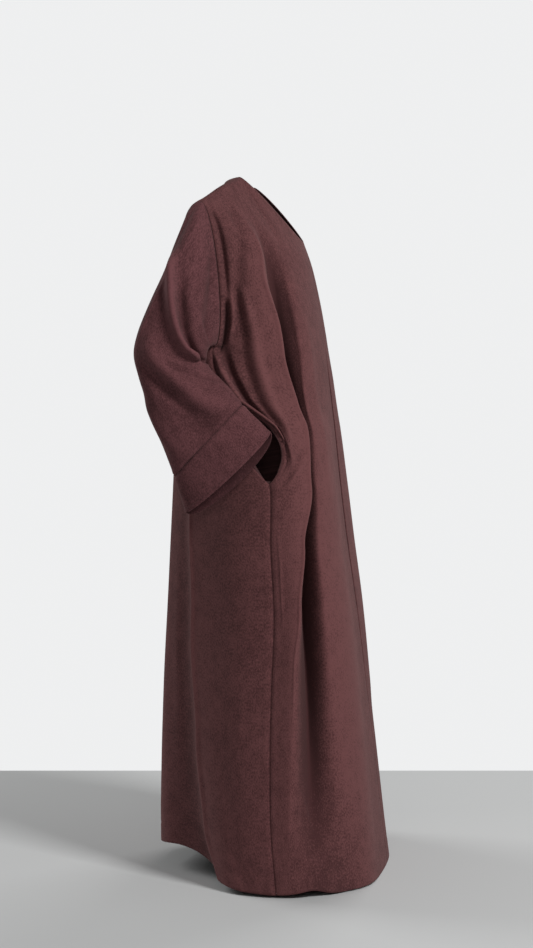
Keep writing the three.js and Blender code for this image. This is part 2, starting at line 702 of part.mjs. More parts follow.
/** Closed wall: the outer grid, a second grid one cloth's thickness inside, and the rims. */
function wallGeometry(grid, { wraps = false, flip = 1, normals = null, capped = false } = {}) {
  const rows = grid.length;
  const columns = grid[0].length;
  const ways = normals ?? gridNormals(grid, wraps, flip);
  const inner = grid.map((row, i) => row.map((point, j) => {
    return point.clone().addScaledVector(ways[i][j], -WALL);
  }));
  const points = [...grid.flat(), ...inner.flat()];
  const skin = rows * columns;
  const at = (i, j, layer) => layer * skin + i * columns + (j % columns);
  const triangles = [];
  const quad = (a, b, c, d) => triangles.push([a, b, c], [a, c, d]);
  const spans = wraps ? columns : columns - 1;
  for (let i = 0; i < rows - 1; i += 1) {
    for (let j = 0; j < spans; j += 1) {
      quad(at(i, j, 0), at(i, j + 1, 0), at(i + 1, j + 1, 0), at(i + 1, j, 0));
      quad(at(i, j, 1), at(i + 1, j, 1), at(i + 1, j + 1, 1), at(i, j + 1, 1));
    }
  }
  for (let j = 0; j < spans; j += 1) {
    quad(at(0, j, 1), at(0, j + 1, 1), at(0, j + 1, 0), at(0, j, 0));
    if (!capped) {
      quad(at(rows - 1, j, 0), at(rows - 1, j + 1, 0), at(rows - 1, j + 1, 1), at(rows - 1, j, 1));
    }
  }
  if (capped) {
    const half = columns / 2;
    for (let j = 0; j < half - 1; j += 1) {
      const twin = columns - 1 - j;
      quad(at(rows - 1, j, 0), at(rows - 1, j + 1, 0), at(rows - 1, twin - 1, 0), at(rows - 1, twin, 0));
      quad(at(rows - 1, twin, 1), at(rows - 1, twin - 1, 1), at(rows - 1, j + 1, 1), at(rows - 1, j, 1));
    }
  }
  if (!wraps) {
    for (let i = 0; i < rows - 1; i += 1) {
      quad(at(i, 0, 0), at(i + 1, 0, 0), at(i + 1, 0, 1), at(i, 0, 1));
      const edge = columns - 1;
      quad(at(i, edge, 1), at(i + 1, edge, 1), at(i + 1, edge, 0), at(i, edge, 0));
    }
  }
  const geometry = new THREE.BufferGeometry();
  geometry.setAttribute('position', new THREE.Float32BufferAttribute(points.flatMap((p) => p.toArray()), 3));
  const ordered = flip > 0 ? triangles : triangles.map(([a, b, c]) => [a, c, b]);
  geometry.setIndex(ordered.flat());
  geometry.computeVertexNormals();
  return geometry;
}

/** Normals of a panel, shared with its neighbour at each seam so that the walls stay apart. */
function panelNormals(grid, flip) {
  const normals = gridNormals(grid, false, flip);
  const last = grid[0].length - 1;
  grid[0].forEach((point, j) => {
    if (Math.abs(point.x) >= NECK_SIDE.x - 0.5) {
      const [x, y, z] = SHOULDER_UP;
      normals[0][j].set(Math.sign(point.x) * x, y, z).normalize();
    }
  });
  grid.forEach((row, i) => {
    [0, last].filter((j) => Math.abs(row[j].x) > FRONT_GAP + 1).forEach((j) => {
      if (ROW_PLACES[i] >= UNDERARM_ROW) {
        normals[i][j].set(Math.sign(row[j].x), 0, 0);
      }
    });
  });
  return normals;
}

/** Move the shoulder and side edges of a panel apart from the piece that is sewn to them. */
function spaceSeams(grid, way) {
  const last = grid[0].length - 1;
  grid[0].forEach((point) => {
    if (Math.abs(point.x) >= NECK_SIDE.x - 0.5) {
      point.y += way * SEAM_GAP;
    }
  });
  grid.forEach((row, i) => {
    [0, last].filter((j) => Math.abs(row[j].x) > FRONT_GAP + 1).forEach((j) => {
      if (ROW_PLACES[i] >= UNDERARM_ROW) {
        row[j].y += way * SEAM_GAP / 2;
      }
    });
  });
  return grid;
}

// ---- The garment ----

function piece(name, geometry, finish) {
  const mesh = new THREE.Mesh(geometry, new THREE.MeshStandardMaterial(finish));
  mesh.name = name;
  return mesh;
}

function panel(name, grid, flip) {
  return piece(name, wallGeometry(grid, { flip, normals: panelNormals(grid, flip) }), CLOTH);
}

function sleevePieces(word, side, folds) {
  const outward = () => new THREE.Vector3(side, 0, 0);
  const onward = (point, next) => next.clone().sub(point).normalize();
  const lastRing = SLEEVE_RINGS[SLEEVE_RINGS.length - 1];
  const sleeve = setBack(tubeGrid(side, SLEEVE_RINGS, folds, SLEEVE_STEPS), outward, SEAM_GAP);
  const cuff = setBack(tubeGrid(side, [lastRing, ...CUFF_RINGS], [], CUFF_STEPS), onward, CUFF_GAP);
  const flip = -side;
  const normals = sleeveNormals(sleeve, flip);
  return [
    piece(`sleeve_${word}`, wallGeometry(sleeve, { wraps: true, flip, normals }), CLOTH),
    piece(`cuff_${word}`, wallGeometry(cuff, { wraps: true, flip }), CLOTH),
  ];
}

function pocketBag(name, side, frontPanel, backPanel) {
  const frontEdge = mouthEdge(frontPanel, frontPanel[0].length - 1);
  const backEdge = mouthEdge(backPanel, side < 0 ? 0 : backPanel[0].length - 1);
  const grid = pocketGrid(side, frontEdge, backEdge);
  return piece(name, wallGeometry(grid, { wraps: true, flip: -side, capped: true }), CLOTH_BAG);
}

const backPanel = spaceSeams(backGrid(), 1);
const rightPanel = spaceSeams(frontGrid(-1, FOLDS_FRONT_RIGHT), -1);
const leftPanel = spaceSeams(frontGrid(1, FOLDS_FRONT_LEFT), -1);

const abaya = new THREE.Group();
abaya.name = 'abaya';
abaya.add(
  panel('back', backPanel, 1),
  panel('front_right', rightPanel, 1),
  panel('front_left', leftPanel, -1),
  ...sleevePieces('right', -1, FOLDS_SLEEVE_RIGHT),
  ...sleevePieces('left', 1, FOLDS_SLEEVE_LEFT),
  pocketBag('pocket_right', -1, rightPanel, backPanel),
  pocketBag('pocket_left', 1, leftPanel, backPanel),
);

export default abaya;
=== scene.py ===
"""Open-front abaya in brushed suedette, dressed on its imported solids.

Sizes are in millimetres until a mesh is made. The origin is at the nape, +Z is up, the front
faces -Y and the wearer's right side is at -X.
"""

import logging
import math
from dataclasses import dataclass, field
from enum import Enum
from typing import NamedTuple

import bpy
import numpy as np
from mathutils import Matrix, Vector


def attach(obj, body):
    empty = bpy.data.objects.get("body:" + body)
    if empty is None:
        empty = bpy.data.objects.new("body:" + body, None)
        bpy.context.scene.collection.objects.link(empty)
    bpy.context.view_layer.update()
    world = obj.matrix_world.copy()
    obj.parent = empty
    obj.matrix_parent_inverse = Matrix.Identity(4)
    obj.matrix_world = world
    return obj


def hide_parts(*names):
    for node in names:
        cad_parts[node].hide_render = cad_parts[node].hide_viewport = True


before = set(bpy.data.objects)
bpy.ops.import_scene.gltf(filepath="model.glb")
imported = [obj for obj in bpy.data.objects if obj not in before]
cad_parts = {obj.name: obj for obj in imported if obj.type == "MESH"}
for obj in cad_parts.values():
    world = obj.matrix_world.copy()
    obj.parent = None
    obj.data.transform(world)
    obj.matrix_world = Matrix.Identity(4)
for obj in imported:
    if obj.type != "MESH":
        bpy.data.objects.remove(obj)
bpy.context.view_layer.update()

LOG = logging.getLogger("abaya")
MM = 0.001


class Half(Enum):
    """The two halves of the body that the side seams divide."""

    FRONT = "front"
    BACK = "back"


class Side(Enum):
    """The wearer's sides, with the sign of X on each."""

    RIGHT = -1
    LEFT = 1

    @property
    def word(self) -> str:
        """Lower-case name, as the solids use it."""
        return self.name.lower()


class Hold(Enum):
    """How a piece of cloth is held in wear."""

    HUNG = "hung"
    DRAPED = "draped"


class BodyRow(NamedTuple):
    """One level of the body: centre front, centre back, and how square its corners are."""

    name: str
    front_y: float
    front_z: float
    back_y: float
    back_z: float
    right_corner: float
    left_corner: float
    back_cut: float


class FlankRow(NamedTuple):
    """The side that the panels curve round to, before the armhole cuts into it."""

    front_half: float
    front_y: float
    front_z: float
    back_half: float
    back_y: float
    back_z: float


class SideRow(NamedTuple):
    """One level of the side seam below the underarm."""

    half: float
    seam_y: float
    seam_z: float


class Fold(NamedTuple):
    """A fold that runs down a panel.

    Places across and depths are given at its top, middle and foot. "inward" is its width toward
    the centre (toward the right on the back) and "outward" away from it. "lean" tips it over.
    """

    start: float
    end: float
    across: tuple[float, float, float]
    depth: tuple[float, float, float]
    inward: float
    outward: float
    lean: float = 0.0


class Guide(NamedTuple):
    """A column of the cloth that runs down a main fold, as (height, share of the quarter)."""

    column: float
    path: tuple[tuple[float, float], ...]


class Ring(NamedTuple):
    """One ring of the right sleeve: underarm, overarm, and the push of its two sides."""

    inner: tuple[float, float, float]
    outer: tuple[float, float, float]
    near: tuple[float, float, float]
    far: tuple[float, float, float]


class SleeveFold(NamedTuple):
    """A fold of a sleeve, from one ring and share of a turn to another."""

    along: tuple[float, float]
    around: tuple[float, float]
    depth: float
    width: float


class HemLift(NamedTuple):
    """Where a quarter's hem rises: the middle and width as shares of the quarter, and how far."""

    centre: float
    width: float
    rise: float


class PocketRing(NamedTuple):
    """One ring of a pocket bag: how far in, and how far it spreads and hangs."""

    inward: float
    spread: float
    hang: float


BODY_ROWS = (
    BodyRow("neck", -101, -118, 52, -6, 2.1, 2.1, 0),
    BodyRow("chest", -117, -168, 94, -72, 2.2, 2.2, 0),
    BodyRow("bust", -130, -231, 120, -165, 2.2, 2.2, 0),
    BodyRow("under bust", -139, -283, 134, -250, 2.2, 2.2, 0),
    BodyRow("underarm", -146, -335, 141, -335, 2.2, 2.2, 0),
    BodyRow("waist", -163, -480, 146, -480, 2.2, 2.1, 0.1),
    BodyRow("pocket foot", -174, -585, 149, -585, 2.3, 2.1, 0.15),
    BodyRow("hip", -188, -700, 153, -700, 2.4, 2.1, 0.2),
    BodyRow("thigh", -207, -830, 158, -825, 2.5, 2.05, 0.25),
    BodyRow("knee", -224, -965, 164, -955, 2.6, 2.05, 0.3),
    BodyRow("calf", -239, -1090, 168, -1075, 2.6, 2.05, 0.38),
    BodyRow("shin", -253, -1212, 171, -1185, 2.6, 2.05, 0.46),
    BodyRow("hem", -267, -1325, 173, -1280, 2.6, 2.05, 0.55),
)
FLANK_ROWS = (
    FlankRow(190, 58, -61, 190, 64, -61),
    FlankRow(195, 36, -115, 191, 95, -92),
    FlankRow(203, 19, -190, 199, 98, -178),
    FlankRow(209, 3, -262, 207, 80, -260),
    FlankRow(212, -12, -332, 212, 40, -334),
    FlankRow(216, -40, -480, 216, -40, -480),
)
SIDE_ROWS = (
    SideRow(212, 33, -330),
    SideRow(216, -44, -480),
    SideRow(224, -73, -585),
    SideRow(237, -77, -700),
    SideRow(253, -86, -828),
    SideRow(269, -84, -962),
    SideRow(284, -84, -1085),
    SideRow(298, -88, -1206),
    SideRow(310, -100, -1320),
)
FRONT_GUIDES = (
    Guide(
        0.36,
        (
            (-100, 0.4),
            (-330, 0.4),
            (-480, 0.43),
            (-590, 0.48),
            (-725, 0.52),
            (-868, 0.53),
            (-1050, 0.52),
            (-1340, 0.5),
        ),
    ),
    Guide(
        0.5,
        (
            (-100, 0.54),
            (-330, 0.55),
            (-440, 0.52),
            (-480, 0.52),
            (-590, 0.575),
            (-725, 0.65),
            (-868, 0.7),
            (-1050, 0.73),
            (-1340, 0.74),
        ),
    ),
    Guide(
        0.64,
        (
            (-100, 0.68),
            (-206, 0.745),
            (-340, 0.69),
            (-440, 0.612),
            (-480, 0.605),
            (-590, 0.675),
            (-700, 0.785),
            (-813, 0.865),
            (-920, 0.905),
            (-1340, 0.93),
        ),
    ),
)
BACK_GUIDES = (
    Guide(
        0.6,
        (
            (-330, 0.52),
            (-600, 0.53),
            (-840, 0.59),
            (-1060, 0.68),
            (-1232, 0.74),
            (-1340, 0.85),
        ),
    ),
)

FOLDS_FRONT_RIGHT = (
    Fold(-60, -1290, (0.64, 0.64, 0.64), (10, 14, 3), 0.045, 0.22, 0.9),
    Fold(-70, -1290, (0.54, 0.53, 0.53), (-12, -54, -5), 0.085, 0.06, -0.36),
    Fold(-160, -1290, (0.38, 0.37, 0.36), (3, 12, 4), 0.16, 0.065, -1.0),
    Fold(-380, -1400, (0.2, 0.21, 0.24), (2, 11, 7), 0.11, 0.12),
    Fold(-30, -400, (0.68, 0.87, 0.95), (-3, -6, -4), 0.05, 0.04),
    Fold(-40, -250, (0.95, 0.955, 0.96), (-3, -8, -3), 0.025, 0.03),
    Fold(-200, -560, (0.86, 0.81, 0.81), (2, 8, 2), 0.03, 0.05),
    Fold(-200, -520, (0.9, 0.87, 0.87), (-2, -6, -2), 0.03, 0.03),
    Fold(-312, -520, (1, 0.97, 0.92), (4, 7, 2), 0.03, 0.03),
    Fold(-1120, -1400, (0.42, 0.4, 0.4), (-1, -6, -8), 0.08, 0.08),
)
FOLDS_FRONT_LEFT = (
    Fold(-70, -1290, (0.64, 0.64, 0.64), (8, 13, 4), 0.05, 0.22, 0.8),
    Fold(-80, -1290, (0.54, 0.535, 0.53), (-10, -42, -6), 0.085, 0.062, -0.22),
    Fold(-200, -1290, (0.38, 0.37, 0.36), (3, 11, 4), 0.16, 0.065, -0.9),
    Fold(-300, -1060, (0.13, 0.16, 0.16), (1, 8, 0), 0.13, 0.12),
    Fold(-40, -390, (0.69, 0.86, 0.94), (-3, -8, -4), 0.05, 0.04),
    Fold(-40, -240, (0.95, 0.955, 0.96), (-3, -7, -3), 0.025, 0.03),
    Fold(-210, -540, (0.84, 0.79, 0.8), (3, 9, 3), 0.035, 0.05),
    Fold(-210, -540, (0.88, 0.85, 0.86), (-3, -8, -3), 0.03, 0.03),
    Fold(-314, -500, (1, 0.965, 0.92), (4, 6, 2), 0.03, 0.03),
    Fold(-1060, -1400, (0.34, 0.36, 0.36), (1, 3, 4), 0.1, 0.1),
)
FOLDS_BACK = (
    Fold(-400, -1400, (-0.54, -0.5, -0.48), (3, 11, 9), 0.13, 0.035),
    Fold(-480, -1400, (-0.42, -0.39, -0.38), (-1, -7, -8), 0.05, 0.08),
    Fold(-380, -1400, (-0.16, -0.18, -0.2), (1, 7, 9), 0.08, 0.09),
    Fold(-360, -1400, (0.05, 0.04, 0.03), (-1, -8, -11), 0.08, 0.08),
    Fold(-400, -1400, (0.24, 0.25, 0.27), (1, 7, 10), 0.08, 0.09),
    Fold(-480, -1400, (0.46, 0.45, 0.44), (-1, -8, -9), 0.07, 0.06),
    Fold(-430, -1400, (0.6, 0.6, 0.6), (2, 9, 9), 0.05, 0.12),
    Fold(-80, -420, (-0.78, -0.72, -0.6), (-2, -9, -2), 0.08, 0.08),
    Fold(-80, -420, (0.78, 0.74, 0.62), (-2, -9, -2), 0.08, 0.08),
)

CREASES_FRONT_RIGHT = (
    Fold(-60, -1050, (0.65, 0.65, 0.65), (2, 4, 1), 0.012, 0.02),
    Fold(-312, -520, (1, 0.965, 0.93), (2, 4.5, 1), 0.012, 0.014),
    Fold(-312, -520, (0.968, 0.93, 0.88), (-5, -11, -3), 0.015, 0.02),
    Fold(-240, -350, (0.965, 0.972, 0.99), (-5, -17, -10), 0.018, 0.018),
    Fold(-225, -325, (0.93, 0.935, 0.965), (1, 6, 2), 0.014, 0.02),
    Fold(-515, -592, (0.68, 0.78, 0.92), (-1, -3.6, -1), 0.03, 0.03),
    Fold(-532, -606, (0.68, 0.78, 0.92), (1, 3, 1), 0.03, 0.03),
    Fold(-150, -560, (0.46, 0.42, 0.38), (-0.5, -2.2, -0.6), 0.02, 0.03),
    Fold(-250, -640, (0.3, 0.27, 0.25), (0.4, 1.6, 0.4), 0.03, 0.03),
    Fold(-462, -560, (0.9, 0.84, 0.78), (0.6, 2.4, 0.5), 0.024, 0.024),
    Fold(-640, -860, (0.93, 0.9, 0.88), (0.2, 1.6, 0.2), 0.02, 0.02),
    Fold(-1130, -1220, (0.6, 0.56, 0.52), (0.2, 1.8, 0.2), 0.012, 0.02),
    Fold(-570, -1600, (1, 1, 1), (1, 1.4, 1.4), 0.016, 0.016),
    Fold(-1160, -1600, (0.5, 0.5, 0.5), (-1, -7, -8), 0.06, 0.07),
    Fold(-980, -1150, (0.36, 0.33, 0.31), (0.2, 1.2, 0.2), 0.02, 0.03),
)
CREASES_FRONT_LEFT = (
    Fold(-70, -1000, (0.65, 0.65, 0.65), (2, 3.6, 1), 0.012, 0.02),
    Fold(-314, -500, (1, 0.965, 0.93), (2, 4, 1), 0.012, 0.014),
    Fold(-314, -500, (0.968, 0.93, 0.88), (-4, -10, -3), 0.015, 0.02),
    Fold(-250, -350, (0.955, 0.972, 1), (-4, -10, -6), 0.014, 0.014),
    Fold(-520, -592, (0.7, 0.78, 0.92), (-1, -3.4, -1), 0.03, 0.03),
    Fold(-536, -606, (0.7, 0.78, 0.92), (1, 2.8, 1), 0.03, 0.03),
    Fold(-160, -520, (0.44, 0.4, 0.37), (-0.5, -2.0, -0.6), 0.02, 0.03),
    Fold(-260, -600, (0.28, 0.25, 0.24), (0.4, 1.5, 0.4), 0.03, 0.03),
    Fold(-465, -555, (0.9, 0.85, 0.79), (0.6, 2.2, 0.5), 0.024, 0.024),
    Fold(-660, -900, (0.92, 0.9, 0.89), (0.2, 1.5, 0.2), 0.02, 0.02),
    Fold(-1150, -1240, (0.58, 0.55, 0.53), (0.2, 1.6, 0.2), 0.014, 0.02),
    Fold(-570, -1600, (1, 1, 1), (1, 1.4, 1.4), 0.016, 0.016),
    Fold(-1160, -1600, (0.5, 0.5, 0.5), (-1, -6, -7), 0.06, 0.07),
)
CREASES_BACK = (
    Fold(-520, -1330, (-0.54, -0.5, -0.48), (1.6, 4, 2.2), 0.014, 0.01),
    Fold(-600, -1330, (0.6, 0.6, 0.6), (0.5, 1.6, 1.2), 0.012, 0.014),
    Fold(-960, -1060, (-0.86, -0.82, -0.8), (0.2, 1.6, 0.2), 0.014, 0.014),
    Fold(-120, -320, (-0.4, -0.34, -0.3), (-0.2, -1.4, -0.2), 0.03, 0.04),
    Fold(-120, -320, (0.42, 0.36, 0.32), (-0.2, -1.3, -0.2), 0.03, 0.04),
    Fold(-620, -1150, (0.34, 0.35, 0.35), (0.2, 1.6, 0.4), 0.02, 0.03),
    Fold(-700, -1200, (-0.3, -0.31, -0.3), (0.2, 1.5, 0.4), 0.02, 0.03),
    Fold(-590, -1600, (-1, -1, -1), (-1, -1.3, -1.3), 0.012, 0.012),
    Fold(-590, -1600, (1, 1, 1), (-1, -1.3, -1.3), 0.012, 0.012),
)

SLEEVE_RINGS = (
    Ring((-212, 33, -330), (-190, 63, -59), (-3, -22, 0), (2, 46, 0)),
    Ring((-219, 36, -330), (-208, 76, -86), (-20, -23, 0), (4, 34, 0)),
    Ring((-226, 37, -332), (-228, 97, -138), (-34, -22, 3), (14, 26, 0)),
    Ring((-234, 38, -336), (-246, 119, -195), (-44, -14, 4), (24, 14, 0)),
    Ring((-240, 39, -343), (-260, 141, -252), (-48, -6, 2), (30, 8, 0)),
    Ring((-245, 39, -352), (-268, 160, -305), (-46, 0, -2), (30, 4, 0)),
    Ring((-248, 37, -362), (-272, 168, -345), (-44, 2, -3), (28, 2, 0)),
    Ring((-250, 28, -376), (-272, 160, -384), (-42, 2, -4), (26, 0, 0)),
    Ring((-251, 12, -391), (-270, 147, -427), (-40, 0, -5), (24, 0, -3)),
    Ring((-251, -6, -409), (-268, 129, -478), (-39, 0, -5), (22, 0, -5)),
    Ring((-251, -18, -424), (-266, 111, -527), (-38, -1, -4), (21, 0, -6)),
    Ring((-251, -29, -438), (-264, 95, -570), (-38, -2, -4), (20, 0, -8)),
)
CUFF_RINGS = (
    Ring((-251, -46, -455), (-263, 89, -592), (-38, -4, -7), (20, -4, -13)),
    Ring((-251, -63, -471), (-261, 83, -612), (-38, -6, -10), (20, -8, -18)),
    Ring((-250, -80, -488), (-260, 77, -633), (-38, -8, -14), (20, -13, -25)),
)
FOLDS_SLEEVE_RIGHT = (
    SleeveFold((0, 6.4), (0.44, 0.41), 3, 0.05),
    SleeveFold((0, 2.9), (0.26, 0.1), -11, 0.07),
    SleeveFold((2.1, 5.9), (0.48, 0.04), 17, 0.042),
    SleeveFold((2.3, 6.3), (0.37, -0.04), -15, 0.045),
    SleeveFold((4.2, 10.8), (0.36, 0.13), 9, 0.055),
    SleeveFold((6.0, 11.4), (0.35, 0.19), -10, 0.05),
    SleeveFold((7.6, 11.2), (0.52, 0.3), 5, 0.05),
    SleeveFold((2.0, 8.5), (0.66, 0.84), -6, 0.08),
)
FOLDS_SLEEVE_LEFT = (
    SleeveFold((0, 6.2), (0.44, 0.41), 3, 0.05),
    SleeveFold((0, 2.7), (0.26, 0.11), -10, 0.07),
    SleeveFold((2.0, 5.6), (0.47, 0.05), 15, 0.044),
    SleeveFold((2.3, 6.1), (0.36, -0.02), -13, 0.045),
    SleeveFold((4.4, 10.6), (0.35, 0.14), 8, 0.06),
    SleeveFold((6.4, 11.2), (0.37, 0.2), -9, 0.05),
    SleeveFold((2.2, 8.2), (0.68, 0.86), -6, 0.08),
)
CREASES_SLEEVE_RIGHT = (
    SleeveFold((0.1, 6.0), (0.42, 0.4), 1.8, 0.009),
    SleeveFold((2.3, 5.7), (0.457, 0.063), 5, 0.014),
    SleeveFold((4.7, 5.8), (0.14, 0.08), 4, 0.018),
    SleeveFold((6.2, 8.6), (0.27, 0.0), -2.8, 0.018),
    SleeveFold((5.6, 7.8), (0.27, 0.02), 2.2, 0.02),
    SleeveFold((6.4, 8.2), (0.36, 0.28), 1.8, 0.014),
    SleeveFold((7.6, 10.4), (0.36, 0.2), 1.4, 0.02),
)
CREASES_SLEEVE_LEFT = (
    SleeveFold((0.1, 5.8), (0.42, 0.4), 1.8, 0.009),
    SleeveFold((2.2, 5.4), (0.449, 0.073), 4.4, 0.014),
    SleeveFold((4.5, 5.6), (0.15, 0.09), 3.4, 0.018),
    SleeveFold((6.3, 8.6), (0.28, 0.02), -2.4, 0.018),
    SleeveFold((7.4, 10.2), (0.36, 0.22), 1.4, 0.02),
)
POCKET_RINGS = (
    PocketRing(0.2, 0, 0),
    PocketRing(12, 0, 0),
    PocketRing(24, 8, 50),
    PocketRing(38, 14, 110),
    PocketRing(54, 10, 105),
)

WALL = 1.6
SEAM_GAP = 0.12
CUFF_GAP = 0.2
FRONT_GAP = 0.9
UNDERARM_ROW = 4
SEAM_PULL = 8
SEAM_SWING = 22
NECK_SIDE = (78.0, 9.0, 0.0)
NECK_SHARE = 0.41
NECK_REACH = 2.2
SHOULDER_BOW = 5
SHOULDER_UP = (0.35, 0.12, 0.93)
MOUTH_TOP = -431
MOUTH_FOOT = -585
MOUTH_FRONT_SHARE = 0.19
MOUTH_BACK_SHARE = 0.11
MOUTH_SKEW = 1.2
BAG_TOP = -440
BAG_FOOT = -580
LIFT_FROM = 10
HEM_LIFTS = {Half.FRONT: HemLift(0.8, 0.12, 9.0), Half.BACK: HemLift(0.4, 0.17, 18.0)}


# ---- Curves and grids ----


def ease(value: np.ndarray | float) -> np.ndarray:
    """Smooth step from 0 to 1."""
    s = np.clip(value, 0.0, 1.0)
    return s * s * (3 - 2 * s)


def mix(a: np.ndarray | float, b: np.ndarray | float, share: np.ndarray | float) -> np.ndarray:
    """Straight blend from a to b."""
    return a + (b - a) * share


def curve(values: list | tuple | np.ndarray, place: np.ndarray | float) -> np.ndarray:
    """Smooth curve through equally spaced values.

    Args:
        values: Numbers, or points with one row each.
        place: Places along the curve, 0 at the first value.

    Returns:
        The value at each place.
    """
    v = np.asarray(values, float)
    p = np.asarray(place, float)
    last = len(v) - 1
    padded = np.concatenate([[2 * v[0] - v[1]], v, [2 * v[last] - v[last - 1]]])
    start = np.clip(np.floor(p).astype(int), 0, last - 1)
    s = p - start
    if v.ndim > 1:
        s = s[..., None]
    a, b, c, d = (padded[start + k] for k in range(4))
    cubic = (3 * (b - c) + d - a) * s
    return b + 0.5 * s * (c - a + s * (2 * a - 5 * b + 4 * c - d + cubic))


def along(rows: tuple, key: str, place: np.ndarray | float) -> np.ndarray:
    """A named column of a table, read smoothly at a place."""
    return curve([getattr(row, key) for row in rows], place)


def three_way(values: tuple[float, float, float], s: np.ndarray) -> np.ndarray:
    """Smooth run through a top, middle and foot value."""
    top, middle, foot = values
    return top * (1 - s) * (1 - 2 * s) + middle * 4 * s * (1 - s) + foot * s * (2 * s - 1)


def unit(vectors: np.ndarray) -> np.ndarray:
    """Vectors scaled to length one."""
    length = np.linalg.norm(vectors, axis=-1, keepdims=True)
    return vectors / np.maximum(length, 1e-12)


def gradients(grid: np.ndarray, wraps: bool) -> tuple[np.ndarray, np.ndarray]:
    """Direction across and down a grid at each of its points."""
    down = np.gradient(grid, axis=0)
    if wraps:
        across = np.roll(grid, -1, axis=1) - np.roll(grid, 1, axis=1)
    else:
        across = np.gradient(grid, axis=1)
    return across, down


def grid_normals(grid: np.ndarray, wraps: bool, flip: int) -> np.ndarray:
    """Outward normals of a grid; flip is 1 or -1."""
    across, down = gradients(grid, wraps)
    return unit(np.cross(across, down)) * flip


def fold_shift(
    folds: tuple[Fold, ...], across: np.ndarray, height: np.ndarray
) -> tuple[np.ndarray, np.ndarray]:
    """Depth and tip of a panel's folds.

    Args:
        folds: The folds.
        across: Place across the panel of each grid point.
        height: Height of each grid point.

    Returns:
        How far each point moves out, and how far it tips toward the centre.
    """
    depth = np.zeros(height.shape)
    tip = np.zeros(height.shape)
    for fold in folds:
        s = (fold.start - height) / (fold.start - fold.end)
        inside = (s > 0) & (s < 1)
        offset = across - three_way(fold.across, s)
        width = np.where(offset < 0, fold.inward, fold.outward)
        ends = ease(s / 0.12) * ease((1 - s) / 0.1)
        one = three_way(fold.depth, s) * ends * np.exp(-((offset / width) ** 2))
        one = np.where(inside, one, 0)
        depth += one
        tip += one * fold.lean
    return depth, tip


def guide_share(guide: Guide, height: float) -> float:
    """Share of the quarter that a guide passes through at a height."""
    path = guide.path
    if height >= path[0][0]:
        return path[0][1]
    for above, below in zip(path, path[1:]):
        if below[0] <= height:
            passed = (above[0] - height) / (above[0] - below[0])
            return float(mix(above[1], below[1], ease(passed)))
    return path[-1][1]


def leaning_share(
    guides: tuple[Guide, ...], across: np.ndarray, level: np.ndarray
) -> np.ndarray:
    """Share of the quarter for each column at each row, leaning with the guides."""
    columns = [0.0, *(guide.column for guide in guides), 1.0]
    rows = []
    for height in level:
        shares = [0.0, *(guide_share(guide, height) for guide in guides), 1.0]
        rows.append(np.interp(across, columns, shares))
    return np.array(rows)


def ring_points(rings: tuple[Ring, ...], place: np.ndarray, angle: np.ndarray) -> np.ndarray:
    """Points of a tube's rings.

    Args:
        rings: The rings that the tube runs through.
        place: Place along the rings.
        angle: Angle round the ring, 0 on the underarm line and half a turn on the overarm.

    Returns:
        A point for each pair of place and angle, broadcast together.
    """
    place, angle = np.broadcast_arrays(np.asarray(place, float), np.asarray(angle, float))
    share = ((1 + np.cos(angle)) / 2)[..., None]
    swing = np.sin(angle)[..., None]
    inner, outer, near, far = (along(rings, key, place) for key in Ring._fields)
    push = np.where(swing >= 0, near, far)
    return mix(outer, inner, share) + push * np.abs(swing) ** 0.85


def placed(name: str, data: bpy.types.ID) -> bpy.types.Object:
    """A new object in the scene that shows the data."""
    made = bpy.data.objects.new(name, data)
    bpy.context.scene.collection.objects.link(made)
    return made


def two_tones(
    material: bpy.types.Material, scale: float, tones: tuple[tuple, tuple], roughness: float
) -> None:
    """Give a new material two tones that a noise blends.

    Args:
        material: The material.
        scale: Scale of the noise.
        tones: The two linear colours.
        roughness: Roughness of the surface.
    """
    material.use_nodes = True
    tree = material.node_tree
    shader = tree.nodes["Principled BSDF"]
    shader.inputs["Roughness"].default_value = roughness
    place = tree.nodes.new("ShaderNodeTexCoord")
    cloud = tree.nodes.new("ShaderNodeTexNoise")
    cloud.inputs["Scale"].default_value = scale
    tree.links.new(place.outputs["Object"], cloud.inputs["Vector"])
    blend = tree.nodes.new("ShaderNodeMix")
    blend.data_type = "RGBA"
    tree.links.new(cloud.outputs["Fac"], blend.inputs["Factor"])
    blend.inputs[6].default_value = (*tones[0], 1)
    blend.inputs[7].default_value = (*tones[1], 1)
    tree.links.new(blend.outputs[2], shader.inputs["Base Color"])


# ---- The body's form ----


